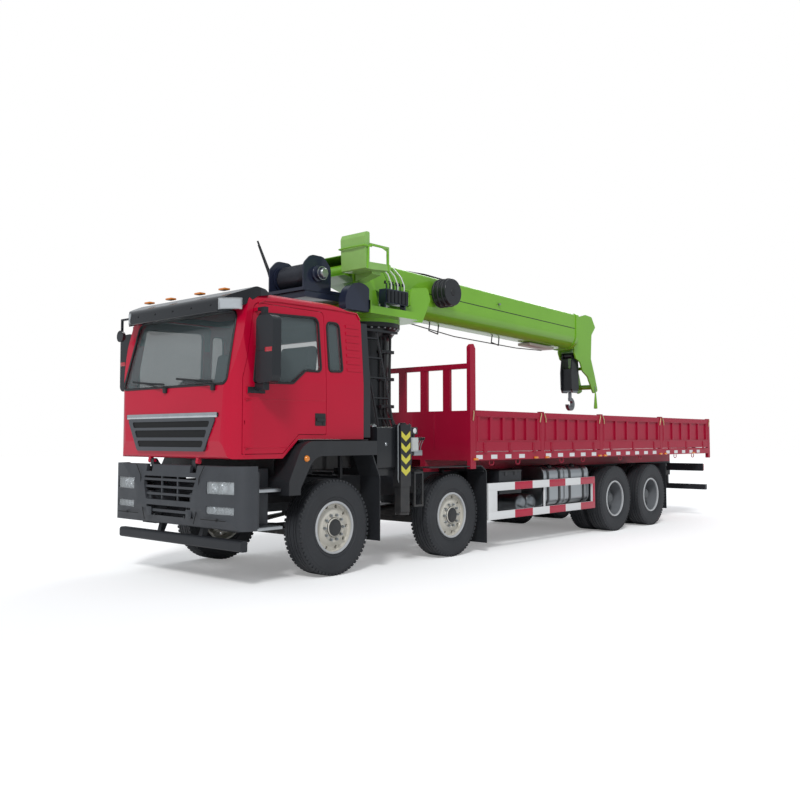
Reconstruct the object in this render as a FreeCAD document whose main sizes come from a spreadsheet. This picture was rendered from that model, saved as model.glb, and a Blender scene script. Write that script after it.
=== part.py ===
import FreeCAD, Part
import math
import os

import Sketcher

Vector = FreeCAD.Vector

# An eight by four lorry with a straight telescopic crane between its cab and its drop-side bed.
# Millimetres. +X is forward, +Y is the driver's left, +Z is up, z = 0 is the ground.
# x = 0 is half way between the front of the bumper and the back of the bed.

# Driving sizes, one row each: name, value
SIZES = (
    # overall
    ("overall_length", 12000), ("bed_half_width", 1230), ("running_gap", 0.05),
    ("seat_gap", 0.3), ("sheet_steel", 8),
    # wheels and axles
    ("axle_1_x", 4550), ("axle_step_1", 2150), ("axle_step_2", 4350), ("axle_step_3", 1350),
    ("tyre_radius", 542), ("tyre_width", 286), ("bead_radius", 288), ("rim_width", 229),
    ("rim_wall", 10), ("rim_lip", 9), ("bolt_face_radius", 168), ("hub_radius", 118),
    ("spindle_radius", 45), ("drum_radius", 205), ("front_wheel_y", 1020),
    ("rear_outer_y", 1092), ("twin_pitch", 336), ("kingpin_y", 800), ("kingpin_radius", 24),
    ("beam_depth", 90), ("beam_width", 110), ("beam_drop", 90), ("axle_tube_radius", 72),
    ("banjo_radius", 215), ("shaft_radius", 55),
    # frame
    ("rail_top", 1080), ("rail_height", 280), ("rail_half_width", 430), ("rail_flange", 85),
    ("rail_front_x", 5650), ("rail_rear_x", -5850), ("member_height", 180),
    ("member_width", 100), ("spring_y", 390), ("spring_width", 76), ("spring_half_length", 760),
    ("spring_thick", 62), ("spring_rise", 75),
    ("rear_spring_y", 500), ("rear_spring_width", 80),
    ("engine_front_x", 5250), ("engine_rear_x", 4150), ("engine_half_width", 365),
    ("engine_bottom", 690), ("engine_top", 1500), ("gearbox_length", 820),
    ("gearbox_half_width", 230), ("gearbox_top", 1010), ("gearbox_bottom", 600),
    # bumper and lamps
    ("bumper_bottom", 600), ("bumper_top", 1262), ("bumper_half_width", 1230),
    ("bumper_length", 260), ("bumper_corner", 150), ("bumper_wall", 40),
    ("cab_step_rear_x", 5330), ("cab_step_half_width", 1130), ("tread_thick", 28),
    ("lamp_inner_y", 690), ("lamp_outer_y", 1100), ("head_lamp_z", 1035),
    ("head_lamp_height", 130), ("fog_lamp_z", 800), ("fog_lamp_height", 80),
    ("front_bar_x", 5850), ("front_bar_bottom", 385), ("front_bar_height", 115),
    ("front_bar_half_width", 1150), ("bar_depth", 90),
    # mudguards
    ("fender_top", 1520), ("fender_band", 165), ("fender_front_x", 5330), ("fender_rear_x", 3960),
    ("fender_leg_bottom", 940), ("fender_outer_y", 1248), ("fender_inner_y", 880),
    ("fender_wall", 14), ("flap_back", 650), ("flap_1_bottom", 340), ("flap_2_bottom", 125),
    ("flap_inner_y", 900), ("flap_outer_y", 1225),
    # tanks, boxes and guards
    ("tank_1_front_x", 170), ("tank_1_length", 580), ("tank_2_length", 740),
    ("tank_space", 20), ("tank_bottom", 525), ("tank_height", 590),
    ("tank_inner_y", 560), ("tank_depth", 590), ("tank_corner", 120), ("air_tank_x", 640),
    ("air_tank_radius", 125), ("air_tank_z", 600), ("air_tank_length", 470),
    ("box_front_x", 1330), ("box_length", 560), ("box_bottom", 760), ("box_height", 330),
    ("guard_front_x", 1690), ("guard_rear_x", -1260), ("guard_outer_y", 1222),
    ("guard_bottom", 425), ("guard_top", 930), ("guard_rail_height", 110),
    ("guard_wall", 28), ("rear_bar_x", -5750), ("rear_bar_bottom", 525),
    ("rear_bar_height", 105), ("rear_bar_half_width", 1225),
    # bed
    ("bed_front_x", 2100), ("bed_rear_x", -5977), ("post_1_x", 305), ("post_2_x", -1490),
    ("post_3_x", -3745), ("post_width", 90), ("post_depth", 60), ("side_rail_bottom", 1250),
    ("floor_top", 1362), ("floor_thick", 12), ("gate_top", 1930), ("gate_bottom", 1374),
    ("gate_thick", 44), ("gate_border", 90), ("gate_foot", 150), ("gate_recess", 24), ("gate_gap", 8),
    ("hinge_radius", 11), ("hinge_drop", 12), ("hinge_out", 12), ("headboard_thick", 60),
    ("headboard_panel_top", 1925), ("headboard_rail_top", 2565), ("headboard_post_top", 2830),
    ("headboard_post_width", 120), ("stake_width", 120), ("stake_pitch", 407),
    ("rail_end_bottom", 1140),
    # cab
    ("cab_front_x", 5985), ("cab_rear_x", 4080), ("cab_bottom", 1335), ("cab_arch_z", 1540),
    ("cab_roof", 3115), ("cab_half_width", 1140), ("cab_roof_half_width", 1075),
    ("cab_wall", 46), ("belt_z", 2120), ("windscreen_top", 2905), ("windscreen_half_width", 985),
    ("rake", 185), ("cab_corner", 260), ("door_front_x", 5850), ("door_rear_x", 4690),
    ("door_top", 2985), ("door_gap", 6), ("door_hinge_y", 1112), ("visor_top", 3165),
    ("visor_front_x", 5960), ("visor_lip", 2885), ("glass_thick", 6), ("tilt_pin_x", 5925),
    ("tilt_pin_z", 1300), ("tilt_pin_radius", 16),
    # crane base
    ("crane_x", 2820), ("beam_box_front_x", 3500), ("outrigger_width", 150),
    ("outrigger_height", 210), ("beam_box_bottom", 1130), ("beam_box_wall", 10),
    ("beam_box_half", 1060), ("outrigger_length", 1780), ("jack_width", 190),
    ("jack_depth", 124), ("jack_inner_y", 1100), ("jack_top", 1710), ("jack_bottom", 960),
    ("jack_wall", 12), ("jack_foot_z", 615), ("column_radius", 300), ("ring_radius", 450),
    ("ring_bottom", 3050), ("ring_split", 3110), ("base_box_half", 440), ("base_box_top", 1520),
    ("ladder_x", 3335), ("ladder_foot_y", 900), ("ladder_width", 290), ("ladder_top", 3000),
    ("ladder_tube", 16),
    # turret and winch
    ("turret_floor", 3200), ("turret_front_x", 3640), ("turret_rear_x", 2060),
    ("turret_plate_y", 485), ("turret_plate", 22), ("pivot_x", 3450), ("pivot_z", 3760),
    ("pivot_radius", 52), ("pivot_boss", 135), ("winch_x", 4080), ("winch_z", 3610),
    ("winch_half", 300), ("winch_flange_radius", 178), ("winch_core_radius", 120),
    ("winch_deck_z", 3385), ("seat_y", 760), ("seat_width", 420), ("seat_z", 3690),
    ("seat_back_top", 4095), ("seat_back_x", 3890),
    # boom, in its own line from the pivot
    ("boom_tilt", 1.6), ("boom_half_width", 300), ("boom_top", 185), ("boom_depth", 615),
    ("boom_wall", 8), ("boom_length", 5850), ("boom_step", 22),
    ("collar_out", 16), ("collar_length", 90), ("stub", 35), ("tail_step", 110),
    ("boom_belly", 230), ("lift_foot_x", 3400), ("lift_foot_z", 3300),
    ("lift_eye_back", 1270), ("lift_eye_drop", 445), ("lift_barrel_radius", 80),
    ("lift_rod_radius", 52), ("lift_pin_radius", 32), ("lift_barrel_length", 1020),
    ("hook_pin_on", 135), ("hook_pin_drop", 520), ("reel_back", 1770), ("reel_radius", 195),
)

document = FreeCAD.newDocument("truck_crane")
sheet = document.addObject("Spreadsheet::Sheet", "Sizes")


class Size(float):
    """A length that remembers the sheet formula that it comes from."""

    def __new__(cls, value, formula):
        size = float.__new__(cls, value)
        size.formula = formula
        return size

    def joined(self, other, sign, value, turned=False):
        pair = [formula_of(self), formula_of(other)]
        if turned:
            pair.reverse()
        return Size(value, f"({pair[0]} {sign} {pair[1]})")

    def __add__(self, other):
        return self.joined(other, "+", float(self) + float(other))

    def __radd__(self, other):
        return self.joined(other, "+", float(other) + float(self), True)

    def __sub__(self, other):
        return self.joined(other, "-", float(self) - float(other))

    def __rsub__(self, other):
        return self.joined(other, "-", float(other) - float(self), True)

    def __mul__(self, other):
        return self.joined(other, "*", float(self) * float(other))

    def __rmul__(self, other):
        return self.joined(other, "*", float(other) * float(self), True)

    def __truediv__(self, other):
        return self.joined(other, "/", float(self) / float(other))

    def __neg__(self):
        return Size(-float(self), f"(-{self.formula})")


def formula_of(value):
    return value.formula if isinstance(value, Size) else repr(float(value))


class Sizes:
    """Every driving size by its name, read back from the sheet."""


d = Sizes()
for row, (alias, value) in enumerate(SIZES, 1):
    sheet.set(f"A{row}", alias)
    sheet.set(f"B{row}", str(value))
    sheet.setAlias(f"B{row}", alias)
document.recompute()
for alias, value in SIZES:
    setattr(d, alias, Size(sheet.get(alias), f"Sizes.{alias}"))


def bind(thing, prop, value):
    if isinstance(value, Size):
        thing.setExpression(prop, value.formula)


TURNS = {
    "x": FreeCAD.Rotation(Vector(0, 1, 0), 90),
    "y": FreeCAD.Rotation(Vector(1, 0, 0), -90),
    "z": FreeCAD.Rotation(),
}


def place(thing, x, y, z, turn=None):
    thing.Placement = FreeCAD.Placement(Vector(x, y, z), turn or FreeCAD.Rotation())
    for axis, value in zip("xyz", (x, y, z)):
        bind(thing, f"Placement.Base.{axis}", value)
    return thing


def box(name, x0, x1, y0, y1, z0, z1):
    solid = document.addObject("Part::Box", name)
    for prop, low, high in (("Length", x0, x1), ("Width", y0, y1), ("Height", z0, z1)):
        setattr(solid, prop, float(high) - float(low))
        bind(solid, prop, high - low)
    return place(solid, x0, y0, z0)


def rod(name, radius, length, x, y, z, along="z"):
    """A round bar that starts at x, y, z and runs along one axis."""
    solid = document.addObject("Part::Cylinder", name)
    solid.Radius = float(radius)
    solid.Height = float(length)
    bind(solid, "Radius", radius)
    bind(solid, "Height", length)
    return place(solid, x, y, z, TURNS[along])


def outline(body, plane, corners):
    """A closed sketch through corners of across, up and an optional rounding radius."""
    sketch = body.newObject("Sketcher::SketchObject", body.Name + "_outline")
    planes = {feature.Role: feature for feature in body.Origin.OriginFeatures}
    sketch.AttachmentSupport = [(planes[plane], "")]
    sketch.MapMode = "FlatFace"
    points = [Vector(corner[0], corner[1], 0) for corner in corners]
    radii = [corner[2] if len(corner) > 2 else 0 for corner in corners]
    count = len(points)
    ends = []
    arcs = {}
    for index, radius in enumerate(radii):
        point = points[index]
        if float(radius) <= 0:
            ends.append((point, point))
            continue
        back = (points[index - 1] - point).normalize()
        ahead = (points[(index + 1) % count] - point).normalize()
        half = math.acos(max(-1.0, min(1.0, back.dot(ahead)))) / 2
        reach = float(radius) / math.tan(half)
        centre = point + (back + ahead).normalize() * (float(radius) / math.sin(half))
        middle = centre + (point - centre).normalize() * float(radius)
        ends.append((point + back * reach, point + ahead * reach))
        turn = (point - ends[index][0]).cross(ends[index][1] - point).z
        first, last = ends[index] if turn > 0 else reversed(ends[index])
        arcs[index] = Part.Arc(first, middle, last)
    lines = [Part.LineSegment(ends[i][1], ends[(i + 1) % count][0]) for i in range(count)]
    sketch.addGeometry(lines, False)
    arc_ids = {index: sketch.addGeometry(arc, False) for index, arc in arcs.items()}
    point_ids = {index: sketch.addGeometry(Part.Point(points[index]), True) for index in arcs}
    limits = []
    bound = []
    for index, corner in enumerate(corners):
        before = (index - 1) % count
        if index in arcs:
            arc = arc_ids[index]
            starts = sketch.Geometry[arc].StartPoint.distanceToPoint(ends[index][0]) < 1e-6
            limits.append(Sketcher.Constraint("Tangent", before, 2, arc, 1 if starts else 2))
            limits.append(Sketcher.Constraint("Tangent", index, 1, arc, 2 if starts else 1))
            limits.append(Sketcher.Constraint("PointOnObject", point_ids[index], 1, before))
            limits.append(Sketcher.Constraint("PointOnObject", point_ids[index], 1, index))
            bound.append((len(limits), corner[2]))
            limits.append(Sketcher.Constraint("Radius", arc, float(corner[2])))
            target = point_ids[index]
        else:
            limits.append(Sketcher.Constraint("Coincident", before, 2, index, 1))
            target = index
        for kind, value in (("DistanceX", corner[0]), ("DistanceY", corner[1])):
            bound.append((len(limits), value))
            limits.append(Sketcher.Constraint(kind, -1, 1, target, 1, float(value)))
    sketch.addConstraint(limits)
    for number, value in bound:
        bind(sketch, f"Constraints[{number}]", value)
    sketch.Visibility = False
    return sketch


def prism(name, plane, corners, length, at=(0, 0, 0), turn=None):
    """An outline given a thickness, half of it on each side of its plane."""
    body = document.addObject("PartDesign::Body", name)
    pad = body.newObject("PartDesign::Pad", name + "_pad")
    pad.Profile = outline(body, plane, corners)
    pad.Length = float(length)
    bind(pad, "Length", length)
    pad.Midplane = True
    body.Tip = pad
    return place(body, *at, turn)


def turned(name, profile, at=(0, 0, 0), along="z"):
    """A profile of radius and place along the axis, turned a full circle."""
    body = document.addObject("PartDesign::Body", name)
    sketch = outline(body, "XZ_Plane", profile)
    spin = body.newObject("PartDesign::Revolution", name + "_turn")
    spin.Profile = sketch
    spin.ReferenceAxis = (sketch, ["V_Axis"])
    spin.Angle = 360
    body.Tip = spin
    return place(body, *at, TURNS[along])


def fuse(name, *solids):
    whole = document.addObject("Part::MultiFuse", name)
    whole.Shapes = list(solids)
    whole.Refine = True
    return whole


def common(name, *solids):
    whole = document.addObject("Part::MultiCommon", name)
    whole.Shapes = list(solids)
    return whole


def cut(name, base, *tools):
    whole = document.addObject("Part::Cut", name)
    whole.Base = base
    whole.Tool = tools[0] if len(tools) == 1 else fuse(name + "_tools", *tools)
    whole.Refine = True
    return whole


def mirrored(name, source):
    """The same piece on the other side of the lorry."""
    copy = document.addObject("Part::Mirroring", name)
    copy.Source = source
    copy.Normal = Vector(0, 1, 0)
    return copy


def both(name, *solids):
    """Pieces and their mirror images in one."""
    one = solids[0] if len(solids) == 1 else fuse(name + "_side", *solids)
    return fuse(name + "_pair", one, mirrored(name + "_other", one))


pieces = []


def piece(label, solid):
    solid.Label = label
    pieces.append(solid)
    return solid

# Places that follow from the sizes
front_x = d.overall_length / 2
axle_x = [d.axle_1_x, d.axle_1_x - d.axle_step_1]
axle_x.append(axle_x[1] - d.axle_step_2)
axle_x.append(axle_x[2] - d.axle_step_3)
axle_z = d.tyre_radius
rail_bottom = d.rail_top - d.rail_height
floor_bottom = d.floor_top - d.floor_thick

# Tyres. A row is radius and place across the tyre; it is turned about the axle.
half_tread = d.tyre_width / 2 - 32
half_bead = d.rim_width / 2


def tyre_profile(middle):
    side = d.tyre_width / 2
    low = d.bead_radius + d.seat_gap
    bead = half_bead - d.seat_gap
    return [
        (low, middle - bead), (low + 12, middle - bead), (low + 62, middle - side + 8, 30),
        (d.tyre_radius - 95, middle - side, 60), (d.tyre_radius - 22, middle - half_tread - 16, 25),
        (d.tyre_radius, middle - half_tread + 22, 30),
        (d.tyre_radius, middle + half_tread - 22, 30),
        (d.tyre_radius - 22, middle + half_tread + 16, 25),
        (d.tyre_radius - 95, middle + side, 60), (low + 62, middle + side - 8, 30),
        (low + 12, middle + bead), (low, middle + bead),
    ]


# Front wheels. The disc bulges outward to its bolt face, and hub and brake drum turn with it.
def front_rim_profile():
    low = d.bead_radius - d.rim_wall
    lip = d.bead_radius + d.rim_lip
    end = half_bead + 12
    bore = d.spindle_radius + d.running_gap
    return [
        (bore, -60), (d.drum_radius - 24, -60), (d.drum_radius - 24, -95), (d.drum_radius, -95),
        (d.drum_radius, 34), (low, 20, 12), (low, -end), (lip, -end), (lip, -half_bead),
        (d.bead_radius, -half_bead), (d.bead_radius, half_bead), (lip, half_bead), (lip, end),
        (low, end), (low, 58, 12), (d.drum_radius + 14, 66, 14),
        (d.bolt_face_radius, 96, 10), (d.hub_radius, 96), (d.hub_radius, 104),
        (d.hub_radius - 22, 130, 12), (bore, 130),
    ]


# Rear twins. Both discs meet in the middle of the pair, and the hub stands out of the dish.
def rear_rim_profile():
    low = d.bead_radius - d.rim_wall
    lip = d.bead_radius + d.rim_lip
    near = d.twin_pitch / 2 - half_bead
    far = d.twin_pitch / 2 + half_bead
    end = far + 12
    start = near - 12
    face = 14
    dish = d.bead_radius - 60
    bore = d.spindle_radius + d.running_gap
    return [
        (bore, -240), (d.drum_radius - 30, -240), (d.drum_radius - 30, -285), (d.drum_radius, -285),
        (d.drum_radius, -face), (dish, -face, 12), (low, -start - 26, 14), (low, -end),
        (lip, -end), (lip, -far), (d.bead_radius, -far), (d.bead_radius, -near), (lip, -near),
        (lip, -start), (lip, start), (lip, near), (d.bead_radius, near), (d.bead_radius, far),
        (lip, far), (lip, end), (low, end), (low, start + 26, 14), (dish, face, 12),
        (d.hub_radius, face), (d.hub_radius, 150, 10), (d.hub_radius - 30, 200, 10), (bore, 200),
    ]


SIDES = (("left", 1), ("right", -1))
hand_hole_reach = (d.drum_radius + d.bead_radius) / 2 - 6
for number in (1, 2):
    for side, sign in SIDES:
        name = f"{number}_{side}"
        at = (axle_x[number - 1], sign * d.front_wheel_y, axle_z)
        outward = FreeCAD.Rotation(Vector(1, 0, 0), -90 * sign)
        piece("tyre_" + name, place(turned("tyre_" + name, tyre_profile(0)), *at, outward))
        disc = turned("disc_" + name, front_rim_profile())
        holes = []
        for step in range(10):
            turn = math.radians(36 * step)
            hole = rod(f"hand_hole_{name}_{step}", 21, 140, hand_hole_reach * math.cos(turn),
                       hand_hole_reach * math.sin(turn), -20)
            holes.append(hole)
        pierced = cut("pierced_disc_" + name, disc, *holes)
        piece("rim_" + name, place(pierced, *at, outward))
for number in (3, 4):
    for side, sign in SIDES:
        name = f"{number}_{side}"
        pair_y = sign * (d.rear_outer_y - d.twin_pitch / 2)
        at = (axle_x[number - 1], pair_y, axle_z)
        outward = FreeCAD.Rotation(Vector(1, 0, 0), -90 * sign)
        inner = turned("inner_tyre_" + name, tyre_profile(-d.twin_pitch / 2))
        outer = turned("outer_tyre_" + name, tyre_profile(d.twin_pitch / 2))
        twins = fuse("twin_tyres_" + name, inner, outer)
        piece("tyres_" + name, place(twins, *at, outward))
        disc = turned("disc_" + name, rear_rim_profile())
        piece("rims_" + name, place(disc, *at, outward))

# Steering knuckles. Two lugs hold the beam's eye on the kingpin, and the spindle runs outward.
eye_half = d.beam_depth / 2
lug_thick = 34
lug_gap = 1
for number in (1, 2):
    for side, sign in SIDES:
        name = f"{number}_{side}"
        pin = rod("kingpin_" + name, d.kingpin_radius, d.beam_depth + 2 * lug_thick + 2 * lug_gap,
                  0, 0, -eye_half - lug_thick - lug_gap)
        lugs = []
        for level, low in (("upper", eye_half + lug_gap), ("lower", -eye_half - lug_gap - lug_thick)):
            lug = rod(f"{level}_lug_{name}", 46, lug_thick, 0, 0, low)
            web = box(f"{level}_web_{name}", -40, 40, 0, 96, low, low + lug_thick)
            lugs += [lug, web]
        yoke = box("yoke_" + name, -52, 52, 62, 98, -eye_half - lug_gap - lug_thick,
                   eye_half + lug_gap + lug_thick)
        spindle = rod("spindle_" + name, d.spindle_radius, d.front_wheel_y - d.kingpin_y + 100 - 80,
                      0, 80, 0, "y")
        arm = box("steering_arm_" + name, -190, -30, 40, 76, -eye_half - lug_gap - lug_thick,
                  -eye_half - lug_gap)
        whole = fuse("knuckle_solid_" + name, pin, *lugs, yoke, spindle, arm)
        if sign < 0:
            whole = mirrored("knuckle_mirror_" + name, whole)
        at = (axle_x[number - 1], sign * d.kingpin_y, axle_z)
        piece("knuckle_" + name, place(whole, *at))

# Front axle beams, dropped in the middle, on two leaf springs each.
axle_parts = []
spring_base = axle_z - d.beam_drop + d.beam_depth / 2
for number in (1, 2):
    x = axle_x[number - 1]
    low = axle_z - eye_half
    eyes = []
    for side, sign in SIDES:
        eye = rod(f"beam_eye_{number}_{side}", 46, d.beam_depth, x, sign * d.kingpin_y, low)
        bore = rod(f"beam_bore_{number}_{side}", d.kingpin_radius + d.running_gap, d.beam_depth, x,
                   sign * d.kingpin_y, low)
        eyes.append((eye, bore))
    run = d.kingpin_y - 30
    beam = prism(f"axle_beam_{number}", "YZ_Plane", [
        (-run, -eye_half), (-run + 90, -eye_half), (-run + 220, -eye_half - d.beam_drop, 60),
        (run - 220, -eye_half - d.beam_drop, 60), (run - 90, -eye_half), (run, -eye_half),
        (run, eye_half), (run - 120, eye_half, 40), (run - 250, eye_half - d.beam_drop, 60),
        (-run + 250, eye_half - d.beam_drop, 60), (-run + 120, eye_half, 40), (-run, eye_half),
    ], d.beam_width, (x, 0, axle_z))
    half = d.spring_half_length
    rise = d.spring_rise
    thick = d.spring_thick
    leaves = []
    for side, sign in SIDES:
        pack = prism(f"leaf_pack_{number}_{side}", "XZ_Plane", [
            (-150, 0), (150, 0), (half - 60, rise, 200), (half, rise + 8), (half, rise + 26),
            (half - 90, rise + 30, 200), (180, thick, 200), (-180, thick, 200),
            (-half + 90, rise + 30, 200), (-half, rise + 26), (-half, rise + 8),
            (-half + 60, rise, 200),
        ], d.spring_width, (x, sign * d.spring_y, spring_base))
        leaves.append(pack)
        for end, where in (("front", half - 30), ("rear", -half + 30)):
            leaves.append(box(f"spring_hanger_{number}_{side}_{end}", x + where - 38, x + where + 38,
                              sign * d.spring_y - 34, sign * d.spring_y + 34,
                              spring_base + rise + 12, rail_bottom))
    whole = fuse(f"front_axle_{number}", beam, eyes[0][0], eyes[1][0], *leaves)
    axle_parts.append(cut(f"front_axle_bored_{number}", whole, eyes[0][1], eyes[1][1]))

# Driven axles: a round tube, the banjo in its middle and the bogie's inverted springs.
pair_y = d.rear_outer_y - d.twin_pitch / 2
bogie_x = (axle_x[2] + axle_x[3]) / 2
driven = []
for number in (3, 4):
    x = axle_x[number - 1]
    reach = pair_y - 250
    driven.append(rod(f"axle_tube_{number}", d.axle_tube_radius, 2 * reach, x, -reach, axle_z, "y"))
    driven.append(rod(f"axle_spindles_{number}", d.spindle_radius, 2 * pair_y + 300, x,
                      -pair_y - 150, axle_z, "y"))
    driven.append(turned(f"banjo_{number}", [
        (0, -140), (d.banjo_radius - 60, -140, 30), (d.banjo_radius, -80, 30),
        (d.banjo_radius, 60, 30), (d.banjo_radius - 90, 170, 40), (80, 250), (0, 250),
    ], (x, 0, axle_z), "x"))
reach = d.axle_step_3 / 2
top = axle_z + d.axle_tube_radius
for side, sign in SIDES:
    driven.append(prism(f"bogie_spring_{side}", "XZ_Plane", [
        (-reach - 60, -6), (reach + 60, -6), (reach + 60, 30), (210, 112, 200), (-210, 112, 200),
        (-reach - 60, 30),
    ], d.rear_spring_width, (bogie_x, sign * d.rear_spring_y, top)))
    inner = sign * d.rail_half_width
    driven.append(box(f"trunnion_{side}", bogie_x - 150, bogie_x + 150,
                      inner + (0 if sign > 0 else -110), inner + (110 if sign > 0 else 0),
                      axle_z - 70, rail_bottom + 150))
# Propeller shafts from the gearbox to both driven axles.
gearbox_rear_x = d.engine_rear_x - d.gearbox_length
shaft_z = axle_z + 20
driven.append(rod("front_shaft", d.shaft_radius, gearbox_rear_x - axle_x[2] - 200, axle_x[2] + 200,
                  0, shaft_z, "x"))
driven.append(rod("rear_shaft", d.shaft_radius, d.axle_step_3 - 100, axle_x[3] + 100, 0,
                  shaft_z, "x"))
axle_parts.append(fuse("driven_axles", *driven))
piece("axles", fuse("axle_group", *axle_parts))

# Frame: two channels joined by cross members.
rails = []
wall = d.sheet_steel
length = d.rail_front_x - d.rail_rear_x
middle_x = (d.rail_front_x + d.rail_rear_x) / 2
rail = prism("left_rail", "YZ_Plane", [
    (d.rail_half_width, rail_bottom), (d.rail_half_width, d.rail_top),
    (d.rail_half_width - d.rail_flange, d.rail_top),
    (d.rail_half_width - d.rail_flange, d.rail_top - wall),
    (d.rail_half_width - wall, d.rail_top - wall), (d.rail_half_width - wall, rail_bottom + wall),
    (d.rail_half_width - d.rail_flange, rail_bottom + wall),
    (d.rail_half_width - d.rail_flange, rail_bottom),
], length, (middle_x, 0, 0))
members = [rail, mirrored("right_rail", rail)]
inner = d.rail_half_width - wall
for number, x in enumerate((5560, 3080, 1700, 500, -900, -2625, -4300, -5780)):
    members.append(box(f"cross_member_{number}", x - d.member_width / 2, x + d.member_width / 2,
                       -inner, inner, d.rail_top - wall - d.member_height, d.rail_top - wall))

# Engine and gearbox, one plain stepped block between the rails.
engine = box("engine_box", d.engine_rear_x, d.engine_front_x, -d.engine_half_width + 30,
             d.engine_half_width - 30, d.engine_bottom, d.engine_top)
gearbox = box("gearbox", gearbox_rear_x, d.engine_rear_x, -d.gearbox_half_width,
              d.gearbox_half_width, d.gearbox_bottom, d.gearbox_top)
mount_z = (rail_bottom + d.rail_top) / 2
mounts = box("engine_mounts", 4600, 4720, -inner, inner, mount_z - 60, mount_z + 60)
piece("engine_block", fuse("engine", engine, gearbox, mounts))

# Front bumper: a wrapped plastic shell with a slatted mouth, lamp pockets and the cab steps.
bumper_rear_x = front_x - d.bumper_length


def bumper_plan(inset):
    half = d.bumper_half_width - inset
    nose = front_x - inset
    return [
        (bumper_rear_x - 2 * inset, -half), (nose - 70, -half, d.bumper_corner),
        (nose, -620, 420), (nose, 620, 420), (nose - 70, half, d.bumper_corner),
        (bumper_rear_x - 2 * inset, half),
    ]


def bumper_form(name, inset):
    height = d.bumper_top - d.bumper_bottom
    middle = (d.bumper_top + d.bumper_bottom) / 2
    plan = prism(name + "_plan", "XY_Plane", bumper_plan(inset), height, (0, 0, middle))
    side = prism(name + "_side", "XZ_Plane", [
        (bumper_rear_x - 100, d.bumper_bottom), (front_x - 80 - inset, d.bumper_bottom, 30),
        (front_x - inset, d.bumper_bottom + 190, 90), (front_x - inset, d.bumper_top - 240, 90),
        (front_x - 45 - inset, d.bumper_top, 20), (bumper_rear_x - 100, d.bumper_top),
    ], 2 * d.bumper_half_width)
    return common(name, plan, side)


def lamp_box(name, sign, z, height, grow):
    low, high = sorted((sign * (d.lamp_inner_y - grow), sign * (d.lamp_outer_y + grow)),
                       key=float)
    return box(name, front_x - 190, front_x + 10, low, high, z - height / 2 - grow,
               z + height / 2 + grow)


bumper_shell = cut("bumper_shell", bumper_form("bumper_outer", 0),
                   bumper_form("bumper_inner", d.bumper_wall))
mouth = prism("bumper_mouth", "YZ_Plane", [
    (-430, 870, 20), (430, 870, 20), (500, 1130, 20), (-500, 1130, 20),
], 300, (front_x, 0, 0))
chin = box("bumper_chin", front_x - 150, front_x + 10, -420, 420, 690, 810)
pockets = []
lenses = []
for side, sign in SIDES:
    for kind, z, height in (("head", d.head_lamp_z, d.head_lamp_height),
                            ("fog", d.fog_lamp_z, d.fog_lamp_height)):
        pockets.append(lamp_box(f"{kind}_pocket_{side}", sign, z, height, 0))
        lens = common(f"{kind}_lens_{side}", lamp_box(f"{kind}_lamp_{side}", sign, z, height, 0),
                      cut(f"{kind}_skin_{side}", bumper_form(f"{kind}_front_{side}", 10),
                          bumper_form(f"{kind}_back_{side}", d.bumper_wall + 30)))
        lenses.append(lens)
horn_gaps = both("horn_gaps", box("horn_gap", front_x - 150, front_x + 10, 360, 476, 1180,
                                  d.bumper_top + 10))
open_bumper = cut("open_bumper", bumper_shell, mouth, chin, horn_gaps, *pockets)
fittings = []
for number in range(3):
    z = 920 + 80 * number
    fittings.append(box(f"mouth_slat_{number}", front_x - 38, front_x - 14, -505, 505, z, z + 26))
for side, sign in SIDES:
    y = sign * 150
    fittings.append(box(f"mouth_post_{side}", front_x - 40, front_x - 22, y - 12, y + 12, 860,
                        1140))
bar = box("chin_bar", front_x - 44, front_x - 20, -425, 425, 735, 765)
step_front_x = bumper_rear_x
step_parts = [
    box("step_back", d.cab_step_rear_x, step_front_x, 620, 900, 560, d.bumper_top - 40),
    box("step_wall_front", step_front_x - 30, step_front_x + 30, 620, d.bumper_half_width - 15,
        d.bumper_bottom + 20, d.bumper_top - 60),
    box("lower_tread", d.cab_step_rear_x + 30, step_front_x, 880, d.cab_step_half_width + 52,
        592, 592 + d.tread_thick),
    box("upper_tread", d.cab_step_rear_x + 30, step_front_x, 880, d.cab_step_half_width + 20,
        985, 985 + d.tread_thick),
    box("step_arm", d.cab_step_rear_x + 100, d.cab_step_rear_x + 160, d.rail_half_width, 620,
        860, 960),
    box("bumper_arm", d.rail_front_x, front_x - 30, d.rail_half_width - 60,
        d.rail_half_width, 840, 960),
]
piece("front_bumper", fuse("bumper", open_bumper, *fittings, bar, both("steps", *step_parts)))

# Lamps: head and fog lamps in the bumper, tail lamps on their plates at the back.
tail_x = d.rear_bar_x + 20
for side, sign in SIDES:
    low, high = sorted((sign * 720, sign * 1170))
    lenses.append(box(f"tail_lamp_{side}", tail_x - 70, tail_x - 10, low, high, 905, 1035))
piece("lamps", fuse("lamp_set", *lenses))

# Wheel arches. Axle 1 has a deep plastic fender, and both steered axles have a flap behind.
outer_arch = [
    (d.fender_front_x, d.fender_leg_bottom), (d.fender_front_x, 1090, 150),
    (5125, d.fender_top, 250), (d.fender_rear_x, d.fender_top),
]
band_low = d.fender_top - d.fender_band
inner_arch = [
    (d.fender_rear_x, band_low), (4960, band_low, 220),
    (d.fender_front_x - d.fender_band, 1010, 120),
    (d.fender_front_x - d.fender_band, d.fender_leg_bottom),
]
skirt_thick = 30
skirt = prism("fender_skirt", "XZ_Plane", outer_arch + inner_arch, skirt_thick,
              (0, d.fender_outer_y - skirt_thick / 2, 0))
wall = d.fender_wall
shell_arch = [
    (d.fender_rear_x, d.fender_top - wall), (5125 - wall / 2, d.fender_top - wall, 240),
    (d.fender_front_x - wall, 1086, 145), (d.fender_front_x - wall, d.fender_leg_bottom),
]
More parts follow.
